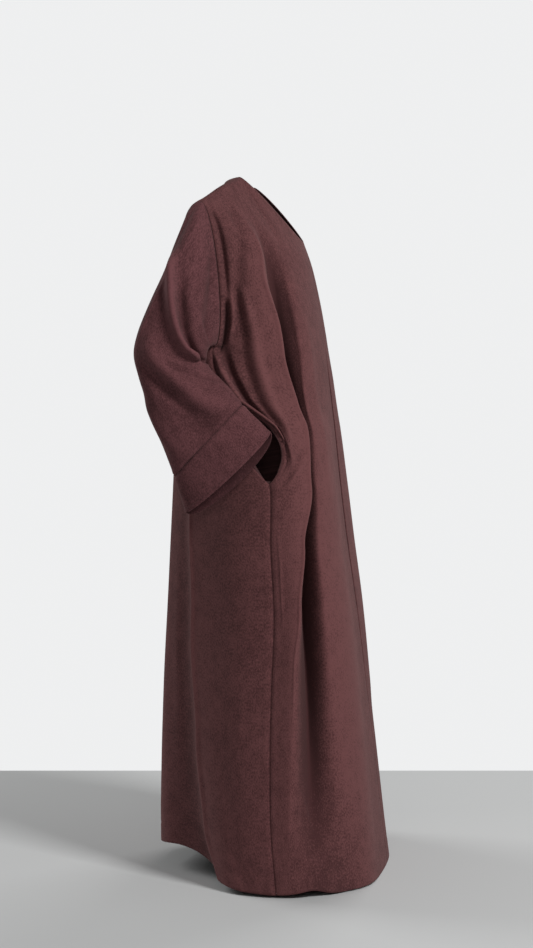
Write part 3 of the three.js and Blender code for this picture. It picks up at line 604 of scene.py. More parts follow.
@dataclass(frozen=True)
class BodyForm:
    """The worn shape that the front and back panels follow, one quarter at a time."""

    half: Half
    corner: str = "right_corner"

    def side_point(self, place: np.ndarray) -> np.ndarray:
        """The side edge of the quarter: the armhole first, then the side seam."""
        place = np.asarray(place, float)
        turn = np.clip(place / UNDERARM_ROW, 0, 1)
        angle = math.pi * (1 - turn if self.half is Half.FRONT else 1 + turn)
        armhole = ring_points(SLEEVE_RINGS, np.zeros(place.shape), angle) * (-1, 1, 1)
        lower = np.maximum(place - UNDERARM_ROW, 0)
        swing = SEAM_SWING * np.sin(math.pi * np.clip(lower, 0, 1) ** 0.8)
        seam = np.stack(
            [
                along(SIDE_ROWS, "half", lower),
                along(SIDE_ROWS, "seam_y", lower) + swing,
                along(SIDE_ROWS, "seam_z", lower),
            ],
            axis=-1,
        )
        return np.where((place <= UNDERARM_ROW)[..., None], armhole, seam)

    def flank_point(self, place: np.ndarray) -> np.ndarray:
        """The side that the panel curves round to, running smoothly past the underarm."""
        blend = ease(np.asarray(place, float) - UNDERARM_ROW)[..., None]
        keys = [f"{self.half.value}_{key}" for key in ("half", "y", "z")]
        flank = np.stack([along(FLANK_ROWS, key, place) for key in keys], axis=-1)
        return mix(flank, self.side_point(place), blend)

    def centre_point(self, place: np.ndarray) -> np.ndarray:
        """The centre front or centre back edge."""
        place = np.asarray(place, float)
        inset = FRONT_GAP if self.half is Half.FRONT else 0.0
        y = along(BODY_ROWS, f"{self.half.value}_y", place)
        z = along(BODY_ROWS, f"{self.half.value}_z", place)
        return np.stack([np.full(place.shape, inset), y, z], axis=-1)

    def row_points(self, share: np.ndarray, place: np.ndarray) -> np.ndarray:
        """Points of the quarter from centre to side, without the neck and shoulder.

        Args:
            share: Share of the quarter for each row and column.
            place: Place of each row, as a column of numbers.

        Returns:
            A grid of points.
        """
        share = np.clip(share, 0, 1)
        angle = share * math.pi / 2
        centre = self.centre_point(place)
        flank = self.flank_point(place)
        edge = self.side_point(place)
        sine, cosine = np.sin(angle), np.cos(angle)
        if self.half is Half.FRONT:
            power = 2 / along(BODY_ROWS, self.corner, place)
            cut = np.zeros(angle.shape)
        else:
            power = np.ones(place.shape)
            cut = along(BODY_ROWS, "back_cut", place) * np.sin(2 * angle) ** 2
        across = mix(sine**power, sine**2, cut)
        back = mix(cosine**power, cosine**2, cut)
        x = mix(centre[..., 0], flank[..., 0], across)
        y = mix(flank[..., 1], centre[..., 1], back)
        z = mix(flank[..., 2], centre[..., 2], cosine**2)
        points = np.stack(np.broadcast_arrays(x, y, z), axis=-1)
        return points + (share**SEAM_PULL)[..., None] * (edge - flank)

    def top_points(self, share: np.ndarray) -> np.ndarray:
        """The top edge: the neckline to its side, then the shoulder seam."""
        centre = self.centre_point(np.zeros(1))[0]
        angle = np.clip(share / NECK_SHARE, 0, 1) * math.pi / 2
        sine, cosine = np.sin(angle), np.cos(angle)
        side = np.array(NECK_SIDE)
        neck = np.stack(
            [
                centre[0] + (side[0] - centre[0]) * sine,
                side[1] + (centre[1] - side[1]) * cosine,
                side[2] + (centre[2] - side[2]) * np.maximum(cosine, 0) ** 1.2,
            ],
            axis=-1,
        )
        s = np.clip((share - NECK_SHARE) / (1 - NECK_SHARE), 0, 1)[..., None]
        tip = self.side_point(np.zeros(1))[0]
        bow = SHOULDER_BOW * np.sin(math.pi * s) * (0, 0, 1)
        shoulder = mix(side, tip, s) + bow
        return np.where((share < NECK_SHARE)[..., None], neck, shoulder)

    def points(self, share: np.ndarray, place: np.ndarray) -> np.ndarray:
        """Unfolded points of the quarter, neck and shoulder included."""
        grid = self.row_points(share, place)
        lift = HEM_LIFTS[self.half]
        low = ease((place - LIFT_FROM) / (len(BODY_ROWS) - 1 - LIFT_FROM))
        grid[..., 2] += lift.rise * low * np.exp(-(((share - lift.centre) / lift.width) ** 2))
        fade = (np.clip(1 - place / NECK_REACH, 0, 1) ** 2)[..., None]
        first = self.row_points(share, np.zeros(place.shape))
        return grid + fade * (self.top_points(share) - first)


def mouth_open(height: np.ndarray) -> np.ndarray:
    """How far the pocket mouth is open at a height, from 0 to 1."""
    s = np.clip((MOUTH_TOP - height) / (MOUTH_TOP - MOUTH_FOOT), 0, 1)
    return np.sin(math.pi * s**MOUTH_SKEW)


def body_places(pitch: float) -> np.ndarray:
    """Row places from neck to hem, spaced evenly down the panels.

    Args:
        pitch: Distance from row to row.

    Returns:
        Places, 0 at the neck and one more at each named row.
    """
    places: list[float] = []
    for i, (upper, lower) in enumerate(zip(BODY_ROWS, BODY_ROWS[1:])):
        drop = max(upper.front_z - lower.front_z, upper.back_z - lower.back_z)
        count = max(2, round(drop / pitch))
        places += [i + k / count for k in range(count)]
    return np.array([*places, len(BODY_ROWS) - 1.0])


# ---- Cloth as a thin closed shell ----


@dataclass
class ClothShell:
    """A grid of outer points made into a closed sheet of cloth with rounded edges."""

    name: str
    grid: np.ndarray
    wraps: bool = False
    flip: int = 1
    wall: float = WALL
    normals: np.ndarray | None = None
    relief: np.ndarray | None = None
    capped: bool = False

    def _coordinates(self) -> np.ndarray:
        """Cloth coordinates in metres: across and down, measured on the outer face."""
        grid = self.grid
        if self.wraps:
            grid = np.concatenate([grid, grid[:, :1]], axis=1)
        step_u = np.linalg.norm(np.diff(grid, axis=1), axis=-1).mean(axis=0)
        step_v = np.linalg.norm(np.diff(grid, axis=0), axis=-1).mean(axis=1)
        u = np.concatenate([[0], np.cumsum(step_u)]) * MM
        v = -np.concatenate([[0], np.cumsum(step_v)]) * MM
        return np.stack(np.meshgrid(u, v), axis=-1)

    def _borders(self) -> list[tuple[np.ndarray, np.ndarray]]:
        """Border loops as row and column numbers, in the direction of the outer faces."""
        rows, cols = self.grid.shape[:2]
        if self.wraps:
            ring = np.arange(cols + 1)
            loops = [(np.zeros(cols + 1, int), ring)]
            if not self.capped:
                loops.append((np.full(cols + 1, rows - 1), ring[::-1]))
            return loops
        i = np.concatenate(
            [
                np.zeros(cols - 1, int),
                np.arange(rows - 1),
                np.full(cols - 1, rows - 1),
                np.arange(rows - 1, -1, -1),
            ]
        )
        j = np.concatenate(
            [
                np.arange(cols - 1),
                np.full(rows - 1, cols - 1),
                np.arange(cols - 1, 0, -1),
                np.zeros(rows, int),
            ]
        )
        return [(i, j)]

    def build(self, finish: bpy.types.Material) -> bpy.types.Object:
        """Make the mesh object.

        Args:
            finish: The material of the cloth.

        Returns:
            The object, linked to the scene, with its cloth coordinates and relief.
        """
        grid = self.grid
        rows, cols = grid.shape[:2]
        normals = self.normals
        if normals is None:
            normals = grid_normals(grid, self.wraps, self.flip)
        inner = grid - normals * self.wall
        skin = rows * cols
        points = [grid.reshape(-1, 3), inner.reshape(-1, 3)]
        total = 2 * skin
        uv = self._coordinates()
        spans = cols if self.wraps else cols - 1
        cells = np.meshgrid(np.arange(rows - 1), np.arange(spans), indexing="ij")
        i, j = (cell.ravel() for cell in cells)
        corners = [(i, j), (i, j + 1), (i + 1, j + 1), (i + 1, j)]
        outer_quads = np.stack([a * cols + b % cols for a, b in corners], axis=-1)
        quad_uv = np.stack([uv[a, b] for a, b in corners], axis=1)
        faces = [outer_quads, outer_quads[:, ::-1] + skin]
        face_uv = [quad_uv, quad_uv[:, ::-1]]
        # The relief that the material paints as highlight on fold ridges and shade in hollows.
        shade = self.relief if self.relief is not None else np.zeros((rows, cols))
        shades = [shade.ravel(), shade.ravel()]
        # The inner skin is marked here, and the material darkens it as painted shade.
        inner_painted_shade = [np.zeros(skin), np.ones(skin)]

        across, down = (unit(a) for a in gradients(grid, self.wraps))
        for bi, bj in self._borders():
            wrapped = bj % cols
            index = bi * cols + wrapped
            away = np.zeros((len(bi), 3))
            away -= down[bi, wrapped] * (bi == 0)[:, None]
            away += down[bi, wrapped] * (bi == rows - 1)[:, None]
            if not self.wraps:
                away -= across[bi, wrapped] * (bj == 0)[:, None]
                away += across[bi, wrapped] * (bj == cols - 1)[:, None]
            away = unit(away)
            middle = grid[bi, wrapped] - normals[bi, wrapped] * self.wall / 2
            middle = middle + away * self.wall * 0.3
            closed = index[0] == index[-1]
            middle = middle[:-1] if closed else middle
            points.append(middle)
            shades.append(shade[bi, wrapped][: len(middle)])
            inner_painted_shade.append(np.zeros(len(middle)))
            ring = total + np.arange(len(index)) % len(middle)
            total += len(middle)
            rim_uv = uv[bi, bj]
            for a, b in ((index, ring), (ring, index + skin)):
                faces.append(np.stack([a[1:], a[:-1], b[:-1], b[1:]], axis=-1))
                pair = [rim_uv[1:], rim_uv[:-1], rim_uv[:-1], rim_uv[1:]]
                face_uv.append(np.stack(pair, axis=1))
        if self.capped:
            half = cols // 2
            k = np.arange(half - 1)
            base = (rows - 1) * cols
            cap = np.stack([k, k + 1, cols - 2 - k, cols - 1 - k], axis=-1) + base
            cap_uv = np.stack([uv[-1, k], uv[-1, k + 1], uv[-1, k + 1], uv[-1, k]], axis=1)
            faces += [cap, cap[:, ::-1] + skin]
            face_uv += [cap_uv, cap_uv[:, ::-1]]

        quads = np.concatenate(faces)
        quads_uv = np.concatenate(face_uv)
        if self.flip < 0:
            quads = quads[:, ::-1]
            quads_uv = quads_uv[:, ::-1]
        mesh = bpy.data.meshes.new(self.name)
        mesh.from_pydata((np.concatenate(points) * MM).tolist(), [], quads.tolist())
        layer = mesh.uv_layers.new(name="cloth")
        layer.data.foreach_set("uv", quads_uv.astype(np.float32).ravel())
        for label, parts in (("relief", shades), ("inner_painted_shade", inner_painted_shade)):
            values = mesh.attributes.new(label, "FLOAT", "POINT")
            values.data.foreach_set("value", np.concatenate(parts).astype(np.float32))
        mesh.polygons.foreach_set("use_smooth", np.ones(len(quads), bool))
        mesh.materials.append(finish)
        mesh.update()
        mesh.validate()
        return placed(self.name, mesh)


# ---- Finishes ----


@dataclass(frozen=True)
class SuedeFinish:
    """Brushed suedette: a short matt nap in two near tones, with a soft sheen.

    Colours are linear. "grain" is the length of the nap's streaks over their width. Each
    amount is how far that pattern moves the tone between the deep and the lit colour. The
    fold relief paints highlight on ridges and shade in hollows, and the inner face is darkened
    as painted shade.
    """

    name: str
    deep: tuple[float, float, float]
    lit: tuple[float, float, float]
    sheen_tint: tuple[float, float, float] = (0.62, 0.42, 0.4)
    grain: float = 1.7
    streak_scale: float = 75.0
    mottle_scale: float = 430.0
    fibre_scale: float = 1500.0
    patch_scale: float = 18.0
    mottle_amount: float = 3.1
    streak_amount: float = 1.1
    fibre_amount: float = 1.3
    patch_amount: float = 0.7
    # Painted highlight on fold ridges and painted shade in fold hollows, from the relief
    # attribute.
    fold_painted_shading: float = 0.03
    noise_roughness: float = 0.6
    roughness: float = 0.94
    specular: float = 0.12
    sheen: float = 0.12
    sheen_roughness: float = 0.55
    # Painted shade on the cloth's inner face, as a share of the tone.
    inner_painted_shade: float = 0.5
    fibre_height: float = 0.6
    bump_strength: float = 0.45
    bump_depth: float = 0.0006

    def material(self) -> bpy.types.Material:
        """Build the node material, or return it if it is already made."""
        known = bpy.data.materials.get(self.name)
        if known is not None:
            return known
        made = bpy.data.materials.new(self.name)
        made.use_nodes = True
        tree = made.node_tree
        tree.nodes.clear()
        new, link = tree.nodes.new, tree.links.new
        output = new("ShaderNodeOutputMaterial")
        shader = new("ShaderNodeBsdfPrincipled")
        shader.inputs["Roughness"].default_value = self.roughness
        shader.inputs["Sheen Weight"].default_value = self.sheen
        shader.inputs["Sheen Roughness"].default_value = self.sheen_roughness
        shader.inputs["Sheen Tint"].default_value = (*self.sheen_tint, 1)
        shader.inputs["Specular IOR Level"].default_value = self.specular
        link(shader.outputs["BSDF"], output.inputs["Surface"])

        place = new("ShaderNodeUVMap")
        place.uv_map = "cloth"
        stretch = new("ShaderNodeMapping")
        stretch.inputs["Scale"].default_value = (1, 1 / self.grain, 1)
        link(place.outputs["UV"], stretch.inputs["Vector"])

        def noise(
            scale: float, detail: float, source: bpy.types.NodeSocket
        ) -> bpy.types.NodeSocket:
            """A noise texture's value socket at a scale."""
            node = new("ShaderNodeTexNoise")
            node.inputs["Scale"].default_value = scale
            node.inputs["Detail"].default_value = detail
            node.inputs["Roughness"].default_value = self.noise_roughness
            link(source, node.inputs["Vector"])
            return node.outputs["Fac"]

        def math_node(operation: str, first: object, second: object) -> bpy.types.NodeSocket:
            """A math node on two sockets or numbers."""
            node = new("ShaderNodeMath")
            node.operation = operation
            for slot, value in zip(node.inputs, (first, second)):
                if isinstance(value, bpy.types.NodeSocket):
                    link(value, slot)
                else:
                    slot.default_value = value
            return node.outputs["Value"]

        nap = stretch.outputs["Vector"]
        mottle = noise(self.mottle_scale, 4, nap)
        fibre = noise(self.fibre_scale, 2, nap)
        streak = noise(self.streak_scale, 3, nap)
        patch = noise(self.patch_scale, 3, place.outputs["UV"])
        relief = new("ShaderNodeAttribute")
        relief.attribute_name = "relief"
        inner_painted_shade = new("ShaderNodeAttribute")
        inner_painted_shade.attribute_name = "inner_painted_shade"
        tone = math_node("MULTIPLY", math_node("SUBTRACT", mottle, 0.5), self.mottle_amount)
        amounts = (
            (streak, self.streak_amount),
            (fibre, self.fibre_amount),
            (patch, self.patch_amount),
        )
        for part, amount in amounts:
            share = math_node("MULTIPLY", math_node("SUBTRACT", part, 0.5), amount)
            tone = math_node("ADD", tone, share)
        # Painted highlight on ridges and painted shade in hollows.
        depth = math_node("MULTIPLY", relief.outputs["Fac"], self.fold_painted_shading)
        tone = math_node("ADD", tone, depth)
        tone = math_node("ADD", tone, 0.5)
        # Painted shade on the inner face.
        back = math_node("MULTIPLY", inner_painted_shade.outputs["Fac"], self.inner_painted_shade)
        tone = math_node("SUBTRACT", tone, back)
        colour = new("ShaderNodeMix")
        colour.data_type = "RGBA"
        colour.clamp_factor = True
        link(tone, colour.inputs["Factor"])
        colour.inputs[6].default_value = (*self.deep, 1)
        colour.inputs[7].default_value = (*self.lit, 1)
        link(colour.outputs[2], shader.inputs["Base Color"])

        height = math_node("ADD", mottle, math_node("MULTIPLY", fibre, self.fibre_height))
        bump = new("ShaderNodeBump")
        bump.inputs["Strength"].default_value = self.bump_strength
        bump.inputs["Distance"].default_value = self.bump_depth
        link(height, bump.inputs["Height"])
        link(bump.outputs["Normal"], shader.inputs["Normal"])
        return made


@dataclass(frozen=True)
class ThreadFinish:
    """Matching polyester sewing thread."""

    name: str
    colour: tuple[float, float, float]
    shares: tuple[float, float] = (0.7, 1.3)
    twist_scale: float = 900
    roughness: float = 0.6

    def material(self) -> bpy.types.Material:
        """Build the node material, or return it if it is already made."""
        known = bpy.data.materials.get(self.name)
        if known is not None:
            return known
        made = bpy.data.materials.new(self.name)
        tones = tuple(tuple(c * share for c in self.colour) for share in self.shares)
        two_tones(made, self.twist_scale, tones, self.roughness)
        return made


SUEDE_BODY = SuedeFinish("suede_body", (0.062, 0.023, 0.024), (0.15, 0.058, 0.059))
SUEDE_SLEEVE = SuedeFinish("suede_sleeve", (0.058, 0.021, 0.023), (0.141, 0.053, 0.058))
# The pocket bags take a darker copy of the body suede: painted shade for the inside of the
# pocket.
SUEDE_BAG_SHADED = SuedeFinish("suede_bag_shaded", (0.05, 0.022, 0.023), (0.1, 0.044, 0.045))
THREAD = ThreadFinish("thread_maroon", (0.075, 0.03, 0.032))


# ---- Panels ----


@dataclass
class SheetCut:
    """The flat piece of cloth that a piece was cut from, in metres."""

    width: float
    length: float
    area: float
    hold: Hold = Hold.HUNG


@dataclass(frozen=True)
class Pressing:
    """The low relief that pressing and sewing leave beside a seam, a mouth and the hem."""

    allowance_rise: float = 0.35
    allowance_place: float = 9
    allowance_width: float = 4
    facing_rise: float = 2.2
    facing_width: float = 6.5
    stitch_depth: float = 1.4
    stitch_width: float = 1.8
    hem_stitch_depth: float = 0.45
    hem_stitch_width: float = 2.4
    hem_rise: float = 0.25
    hem_fade: float = 6


@dataclass
class BodyPanel:
    """A front or back panel: its form, folds and creases, and how finely it is made."""

    name: str
    folds: tuple[Fold, ...]
    creases: tuple[Fold, ...]
    cut: SheetCut
    pitch: float = 4.6
    groove: float = 1.9
    armhole_groove: float = 0.7
    groove_width: float = 3.0
    hem_depth: float = 34.0
    press: Pressing = Pressing()

    def columns(self) -> np.ndarray:
        """Places across the panel."""
        raise NotImplementedError

    def surface(self, across: np.ndarray, places: np.ndarray) -> np.ndarray:
        """Unfolded points for columns and rows."""
        raise NotImplementedError

    def flip(self) -> int:
        """Sign that turns the grid's normals outward."""
        raise NotImplementedError

    def seam_way(self) -> int:
        """Sign of Y for the seam allowance that keeps the panel off its neighbour."""
        raise NotImplementedError

    def _edges(self) -> list[int]:
        """Columns that lie on a side seam."""
        raise NotImplementedError

    def folded(self, across: np.ndarray, places: np.ndarray) -> tuple[np.ndarray, np.ndarray]:
        """Grid with its main folds, and how far each point moved."""
        base = self.surface(across, places)
        step_across, step_down = (unit(a) for a in gradients(base, False))
        normals = unit(np.cross(step_across, step_down)) * self.flip()
        hold = ease((1 - np.abs(across)) / 0.045)[None, :] * ease(places / 1.1)[:, None]
        depth, tip = fold_shift(self.folds, across[None, :], base[..., 2])
        grid = base + normals * (depth * hold)[..., None]
        grid = grid - step_across * (tip * hold)[..., None]
        return grid, depth * hold

    def detailed(
        self, grid: np.ndarray, across: np.ndarray, places: np.ndarray
    ) -> tuple[np.ndarray, np.ndarray]:
        """Grid with its small creases, seam grooves and hem, and how far each point moved."""
        normals = grid_normals(grid, False, self.flip())
        height = grid[..., 2]
        hold = ease((1 - np.abs(across)) / 0.02)[None, :] * ease(places / 0.4)[:, None]
        shift, _ = fold_shift(self.creases, across[None, :], height)
        shift = shift * hold
        press = self.press
        low = places >= UNDERARM_ROW
        groove = np.where(low, self.groove, self.armhole_groove)[:, None]
        for edge in self._edges():
            steps = np.linalg.norm(np.diff(grid, axis=1), axis=-1)
            run = np.concatenate([np.zeros((len(grid), 1)), np.cumsum(steps, axis=1)], axis=1)
            distance = np.abs(run - run[:, edge : edge + 1])
            shift -= groove * np.exp(-((distance / self.groove_width) ** 2))
            beyond = distance - press.allowance_place
            shift += press.allowance_rise * np.exp(-((beyond / press.allowance_width) ** 2))
            mouth = mouth_open(height[:, edge]) ** 0.5
            facing = np.exp(-((distance / press.facing_width) ** 4)) * press.facing_rise
            stitch = press.stitch_depth * np.exp(-((beyond / press.stitch_width) ** 2))
            shift += mouth[:, None] * (facing - stitch)
        drop = np.linalg.norm(np.diff(grid, axis=0), axis=-1)[::-1]
        below = np.concatenate([np.zeros((1, grid.shape[1])), np.cumsum(drop, axis=0)])[::-1]
        over = (below - self.hem_depth) / press.hem_stitch_width
        shift -= press.hem_stitch_depth * np.exp(-(over**2))
        shift += press.hem_rise * ease((self.hem_depth - below) / press.hem_fade)
        return grid + normals * shift[..., None], shift

    @staticmethod
    def _shoulder(grid: np.ndarray) -> np.ndarray:
        """Which columns of the first row lie on the shoulder seam, half a millimetre included."""
        return np.abs(grid[0, :, 0]) >= NECK_SIDE[0] - 0.5

    def spaced(self, grid: np.ndarray, places: np.ndarray) -> np.ndarray:
        """Move the shoulder and side edges clear of the piece sewn to them."""
        way = self.seam_way()
        shoulder = self._shoulder(grid)
        grid[0, shoulder, 1] += way * SEAM_GAP
        low = places >= UNDERARM_ROW
        for edge in self._edges():
            grid[low, edge, 1] += way * SEAM_GAP / 2
        return grid

    def wall_normals(self, grid: np.ndarray, places: np.ndarray) -> np.ndarray:
        """Normals shared with the neighbour at each seam, so that the walls stay apart."""
        normals = grid_normals(grid, False, self.flip())
        x = grid[..., 0]
        shoulder = self._shoulder(grid)
        up = np.array(SHOULDER_UP)
        turned = np.stack([np.sign(x[0]) * up[0], np.full(len(x[0]), up[1])], axis=-1)
        turned = np.concatenate([turned, np.full((len(x[0]), 1), up[2])], axis=-1)
        normals[0, shoulder] = unit(turned)[shoulder]
        low = places >= UNDERARM_ROW
        for edge in self._edges():
            normals[low, edge] = 0
            normals[low, edge, 0] = np.sign(x[low, edge])
        return normals

    def grid(self) -> tuple[np.ndarray, np.ndarray, np.ndarray]:
        """Finished outer grid, its relief, and its row places."""
        across, places = self.columns(), body_places(self.pitch)
        grid, depth = self.folded(across, places)
        grid, shift = self.detailed(grid, across, places)
        return self.spaced(grid, places), depth + 2 * shift, places

    def mouth_edge(self, grid: np.ndarray, column: int) -> np.ndarray:
        """Edge points along the pocket mouth, top to foot."""
        level = BodyForm(Half.FRONT).side_point(body_places(self.pitch))[:, 2]
        inside = (level <= BAG_TOP) & (level >= BAG_FOOT)
        return grid[inside, column]

    def build(self) -> tuple[bpy.types.Object, np.ndarray]:
        """Make the panel's object.

        Returns:
            The object and its outer grid.
        """
        grid, relief, places = self.grid()
        normals = self.wall_normals(grid, places)
        shell = ClothShell(self.name, grid, flip=self.flip(), normals=normals, relief=relief)
        return shell.build(SUEDE_BODY.material()), grid


@dataclass
class FrontPanel(BodyPanel):
    """One front, from its own edge round to the side seam and armhole."""

    side: Side = Side.RIGHT

    def columns(self) -> np.ndarray:
        """Places across, closer together at the main fold and at the side."""
        spans = ((0.08, 10), (0.34, 20), (0.46, 18), (0.6, 34), (0.68, 14), (0.88, 24), (1.0, 26))
        places: list[float] = []
        start = 0.0
        for end, count in spans:
            places += [start + (end - start) * k / count for k in range(count)]
            start = end
        return np.array([*places, 1.0])

    def surface(self, across: np.ndarray, places: np.ndarray) -> np.ndarray:
        """Unfolded points for columns and rows."""
        form = BodyForm(Half.FRONT, f"{self.side.word}_corner")
        level = form.side_point(places)[:, 2]
        spread = leaning_share(FRONT_GUIDES, across, level)
        opening = MOUTH_FRONT_SHARE * mouth_open(level)[:, None] * ease(4 * across - 3)[None, :]
        grid = form.points(spread * (1 - opening), places[:, None])
        grid[..., 0] *= self.side.value
        return grid

    def flip(self) -> int:
        """Sign that turns the grid's normals outward."""
        return -self.side.value

    def seam_way(self) -> int:
        """The fronts move forward from their seams."""
        return -1

    def _edges(self) -> list[int]:
        """The last column lies on the side seam."""
        return [len(self.columns()) - 1]


@dataclass
class BackPanel(BodyPanel):
    """The back, from the right side seam to the left."""

    def columns(self) -> np.ndarray:
        """Places across, -1 at the right seam and 1 at the left, closer at the ridges."""
        spans = ((0.38, 24), (0.46, 8), (0.58, 20), (0.9, 16), (1.0, 9))
        places = [0.0]
        for end, count in spans:
            start = places[-1]
            places += [start + (end - start) * (k + 1) / count for k in range(count)]
        return np.array([-place for place in places[:0:-1]] + places)

    def surface(self, across: np.ndarray, places: np.ndarray) -> np.ndarray:
        """Unfolded points for columns and rows."""
        form = BodyForm(Half.BACK)
        level = form.side_point(places)[:, 2]
        near = np.abs(across)
        spread = leaning_share(BACK_GUIDES, near, level)
        opening = MOUTH_BACK_SHARE * mouth_open(level)[:, None] * ease(2.5 * near - 1.5)[None, :]
        grid = form.points(spread * (1 - opening), places[:, None])
        grid[..., 0] *= np.sign(across)[None, :]
        return grid

    def flip(self) -> int:
        """Sign that turns the grid's normals outward."""
        return 1

    def seam_way(self) -> int:
        """The back moves backward from its seams."""
        return 1

    def _edges(self) -> list[int]:
        """Both outer columns lie on side seams."""
        return [0, len(self.columns()) - 1]


# ---- Sleeves, cuffs and pockets ----


@dataclass
class Tube:
    """A tube of cloth through a run of rings, with its folds."""

    name: str
    side: Side
    rings: tuple[Ring, ...]
    folds: tuple[SleeveFold, ...]
    creases: tuple[SleeveFold, ...]
    cut: SheetCut
    rows: int = 130
    turns: int = 132
    groove: float = 1.0
    groove_width: float = 2.6
    ridge_rise: float = 0.4
    ridge_place: float = 8
    ridge_width: float = 4
    cuff_seam: float = 1.8

    def _surface(self, places: np.ndarray, turns: np.ndarray) -> np.ndarray:
        """Unfolded points of the tube."""
        grid = ring_points(self.rings, places[:, None], turns[None, :] * 2 * math.pi)
        return grid * (-self.side.value, 1, 1)

    @staticmethod
    def fold_depth(
        folds: tuple[SleeveFold, ...], places: np.ndarray, turns: np.ndarray
    ) -> np.ndarray:
        """How far the folds push each point out.

        Args:
            folds: The folds.
            places: Place of each row along the rings.
            turns: Share of a turn of each column.

        Returns:
            Depth for each row and column.
        """
        depth = np.zeros((len(places), len(turns)))
        for fold in folds:
            s = ((places - fold.along[0]) / (fold.along[1] - fold.along[0]))[:, None]
            offset = turns[None, :] - mix(fold.around[0], fold.around[1], s)
            away = np.abs(offset - np.round(offset))
            ends = ease(s / 0.25) * ease((1 - s) / 0.25)
            one = fold.depth * ends * np.exp(-((away / fold.width) ** 2))
            depth += np.where((s > 0) & (s < 1), one, 0)
        return depth

    def seam_relief(self, distance: np.ndarray) -> np.ndarray:
        """Groove beside a seam and the ridge of its allowance, at distances from the seam."""
        groove = -self.groove * np.exp(-((distance / self.groove_width) ** 2))
        beyond = (distance - self.ridge_place) / self.ridge_width
        return groove + self.ridge_rise * np.exp(-(beyond**2))

    def grid(self) -> tuple[np.ndarray, np.ndarray]:
        """Outer grid and its relief."""
        last = len(self.rings) - 1
        places = np.linspace(0, last, self.rows + 1)
        turns = np.arange(self.turns) / self.turns
        grid = self._surface(places, turns)
        flip = -self.side.value
        depth = self.fold_depth(self.folds, places, turns)
        grid = grid + grid_normals(grid, True, flip) * depth[..., None]
        steps = np.linalg.norm(np.diff(grid, axis=0), axis=-1)
        run = np.concatenate([np.zeros((1, self.turns)), np.cumsum(steps, axis=0)])
        shift = self.fold_depth(self.creases, places, turns) + self.detail(run)
        normals = grid_normals(grid, True, flip)
        normals[0] *= (0, 1, 1) if self.at_armhole() else (1, 1, 1)
        grid = grid + unit(normals) * shift[..., None]
        grid[0] += self.set_back(grid)
        return grid, depth + 2 * shift

    def at_armhole(self) -> bool:
        """Whether the first ring lies in the plane of the armhole."""
        return True

    def detail(self, run: np.ndarray) -> np.ndarray:
        """Small relief by distance from the first ring."""
        return self.seam_relief(run) + self.cuff_seam * self.seam_relief(run[-1:] - run)

    def set_back(self, grid: np.ndarray) -> np.ndarray:
        """Small move of the first ring, clear of the piece it is sewn to."""
        return np.array([self.side.value * SEAM_GAP, 0, 0])

    def build(self) -> tuple[bpy.types.Object, np.ndarray]:
        """Make the tube's object.

        Returns:
            The object and its outer grid.
        """
        grid, relief = self.grid()
        flip = -self.side.value
        normals = grid_normals(grid, True, flip)
        if self.at_armhole():
            normals[0] = unit(normals[0] * (0, 1, 1))
        shell = ClothShell(
            self.name, grid, wraps=True, flip=flip, normals=normals, relief=relief
        )
        return shell.build(SUEDE_SLEEVE.material()), grid


@dataclass
class Cuff(Tube):
    """The deep band at the sleeve's end, topstitched beside its edge."""

    stitch_inset: float = 7.0
    channel_depth: float = 0.5
    channel_width: float = 1.8
    edge_rise: float = 0.3
    edge_fade: float = 3

    def at_armhole(self) -> bool:
        """A cuff starts at the sleeve, not at the armhole."""
        return False

    def detail(self, run: np.ndarray) -> np.ndarray:
        """Groove at the sleeve seam, and a channel under the topstitching."""
        edge = run[-1:] - run
        over = (edge - self.stitch_inset) / self.channel_width
        channel = -self.channel_depth * np.exp(-(over**2))
        seam = self.cuff_seam * self.seam_relief(run)
        rise = self.edge_rise * ease((self.stitch_inset - edge) / self.edge_fade)
        return seam + channel + rise

    def set_back(self, grid: np.ndarray) -> np.ndarray:
        """Small move of the first ring along the arm."""
        return unit(grid[1] - grid[0]) * CUFF_GAP

    def stitch_line(self, grid: np.ndarray) -> np.ndarray:
        """Closed run of points beside the cuff's edge, on its outer face."""
        steps = np.linalg.norm(np.diff(grid[::-1], axis=0), axis=-1)
        run = np.concatenate([np.zeros((1, grid.shape[1])), np.cumsum(steps, axis=0)])
        line = []
        for column in range(grid.shape[1]):
            points, reach = grid[::-1, column], run[:, column]
            line.append([np.interp(self.stitch_inset, reach, points[:, k]) for k in range(3)])
        return np.array(line)


@dataclass
class PocketBag:
    """The bag behind a side pocket's mouth, hanging inside the front."""

    name: str
    side: Side
    front_edge: np.ndarray
    back_edge: np.ndarray
    cut: SheetCut
    rows: int = 30
    foot_tuck: tuple[float, float] = (4.5, 9.0)

    def grid(self) -> np.ndarray:
        """Rings from the mouth inward to the bag's end, tucked under the mouth's foot."""
        front = self.front_edge
        back = self.back_edge[::-1]
        loop = np.concatenate([front, back])
        way = np.concatenate([-np.ones(len(front)), np.ones(len(back))])
        top, height = front[0, 2], front[0, 2] - front[-1, 2]
        s = (top - loop[:, 2]) / height
        swell = 0.25 + 0.75 * np.sin(math.pi * np.clip(0.12 + 0.8 * s, 0, 1))
        places = np.linspace(0, len(POCKET_RINGS) - 1, self.rows + 1)
        inward, spread, hang = (
            along(POCKET_RINGS, key, places)[:, None] for key in PocketRing._fields
        )
        foot = ease((s - 0.84) / 0.16)
        x = loop[None, :, 0] - self.side.value * (inward + self.foot_tuck[0] * foot)
        y = loop[None, :, 1] + way * (spread * swell - SEAM_GAP - 0.5)
        z = loop[None, :, 2] - hang * ease((s - 0.3) / 0.7) - self.foot_tuck[1] * foot
        return np.stack(np.broadcast_arrays(x, y, z), axis=-1)

    def build(self) -> bpy.types.Object:
        """Make the bag's object."""
        shell = ClothShell(
            self.name, self.grid(), wraps=True, flip=-self.side.value, capped=True
        )
        return shell.build(SUEDE_BAG_SHADED.material())


# ---- Stitches ----


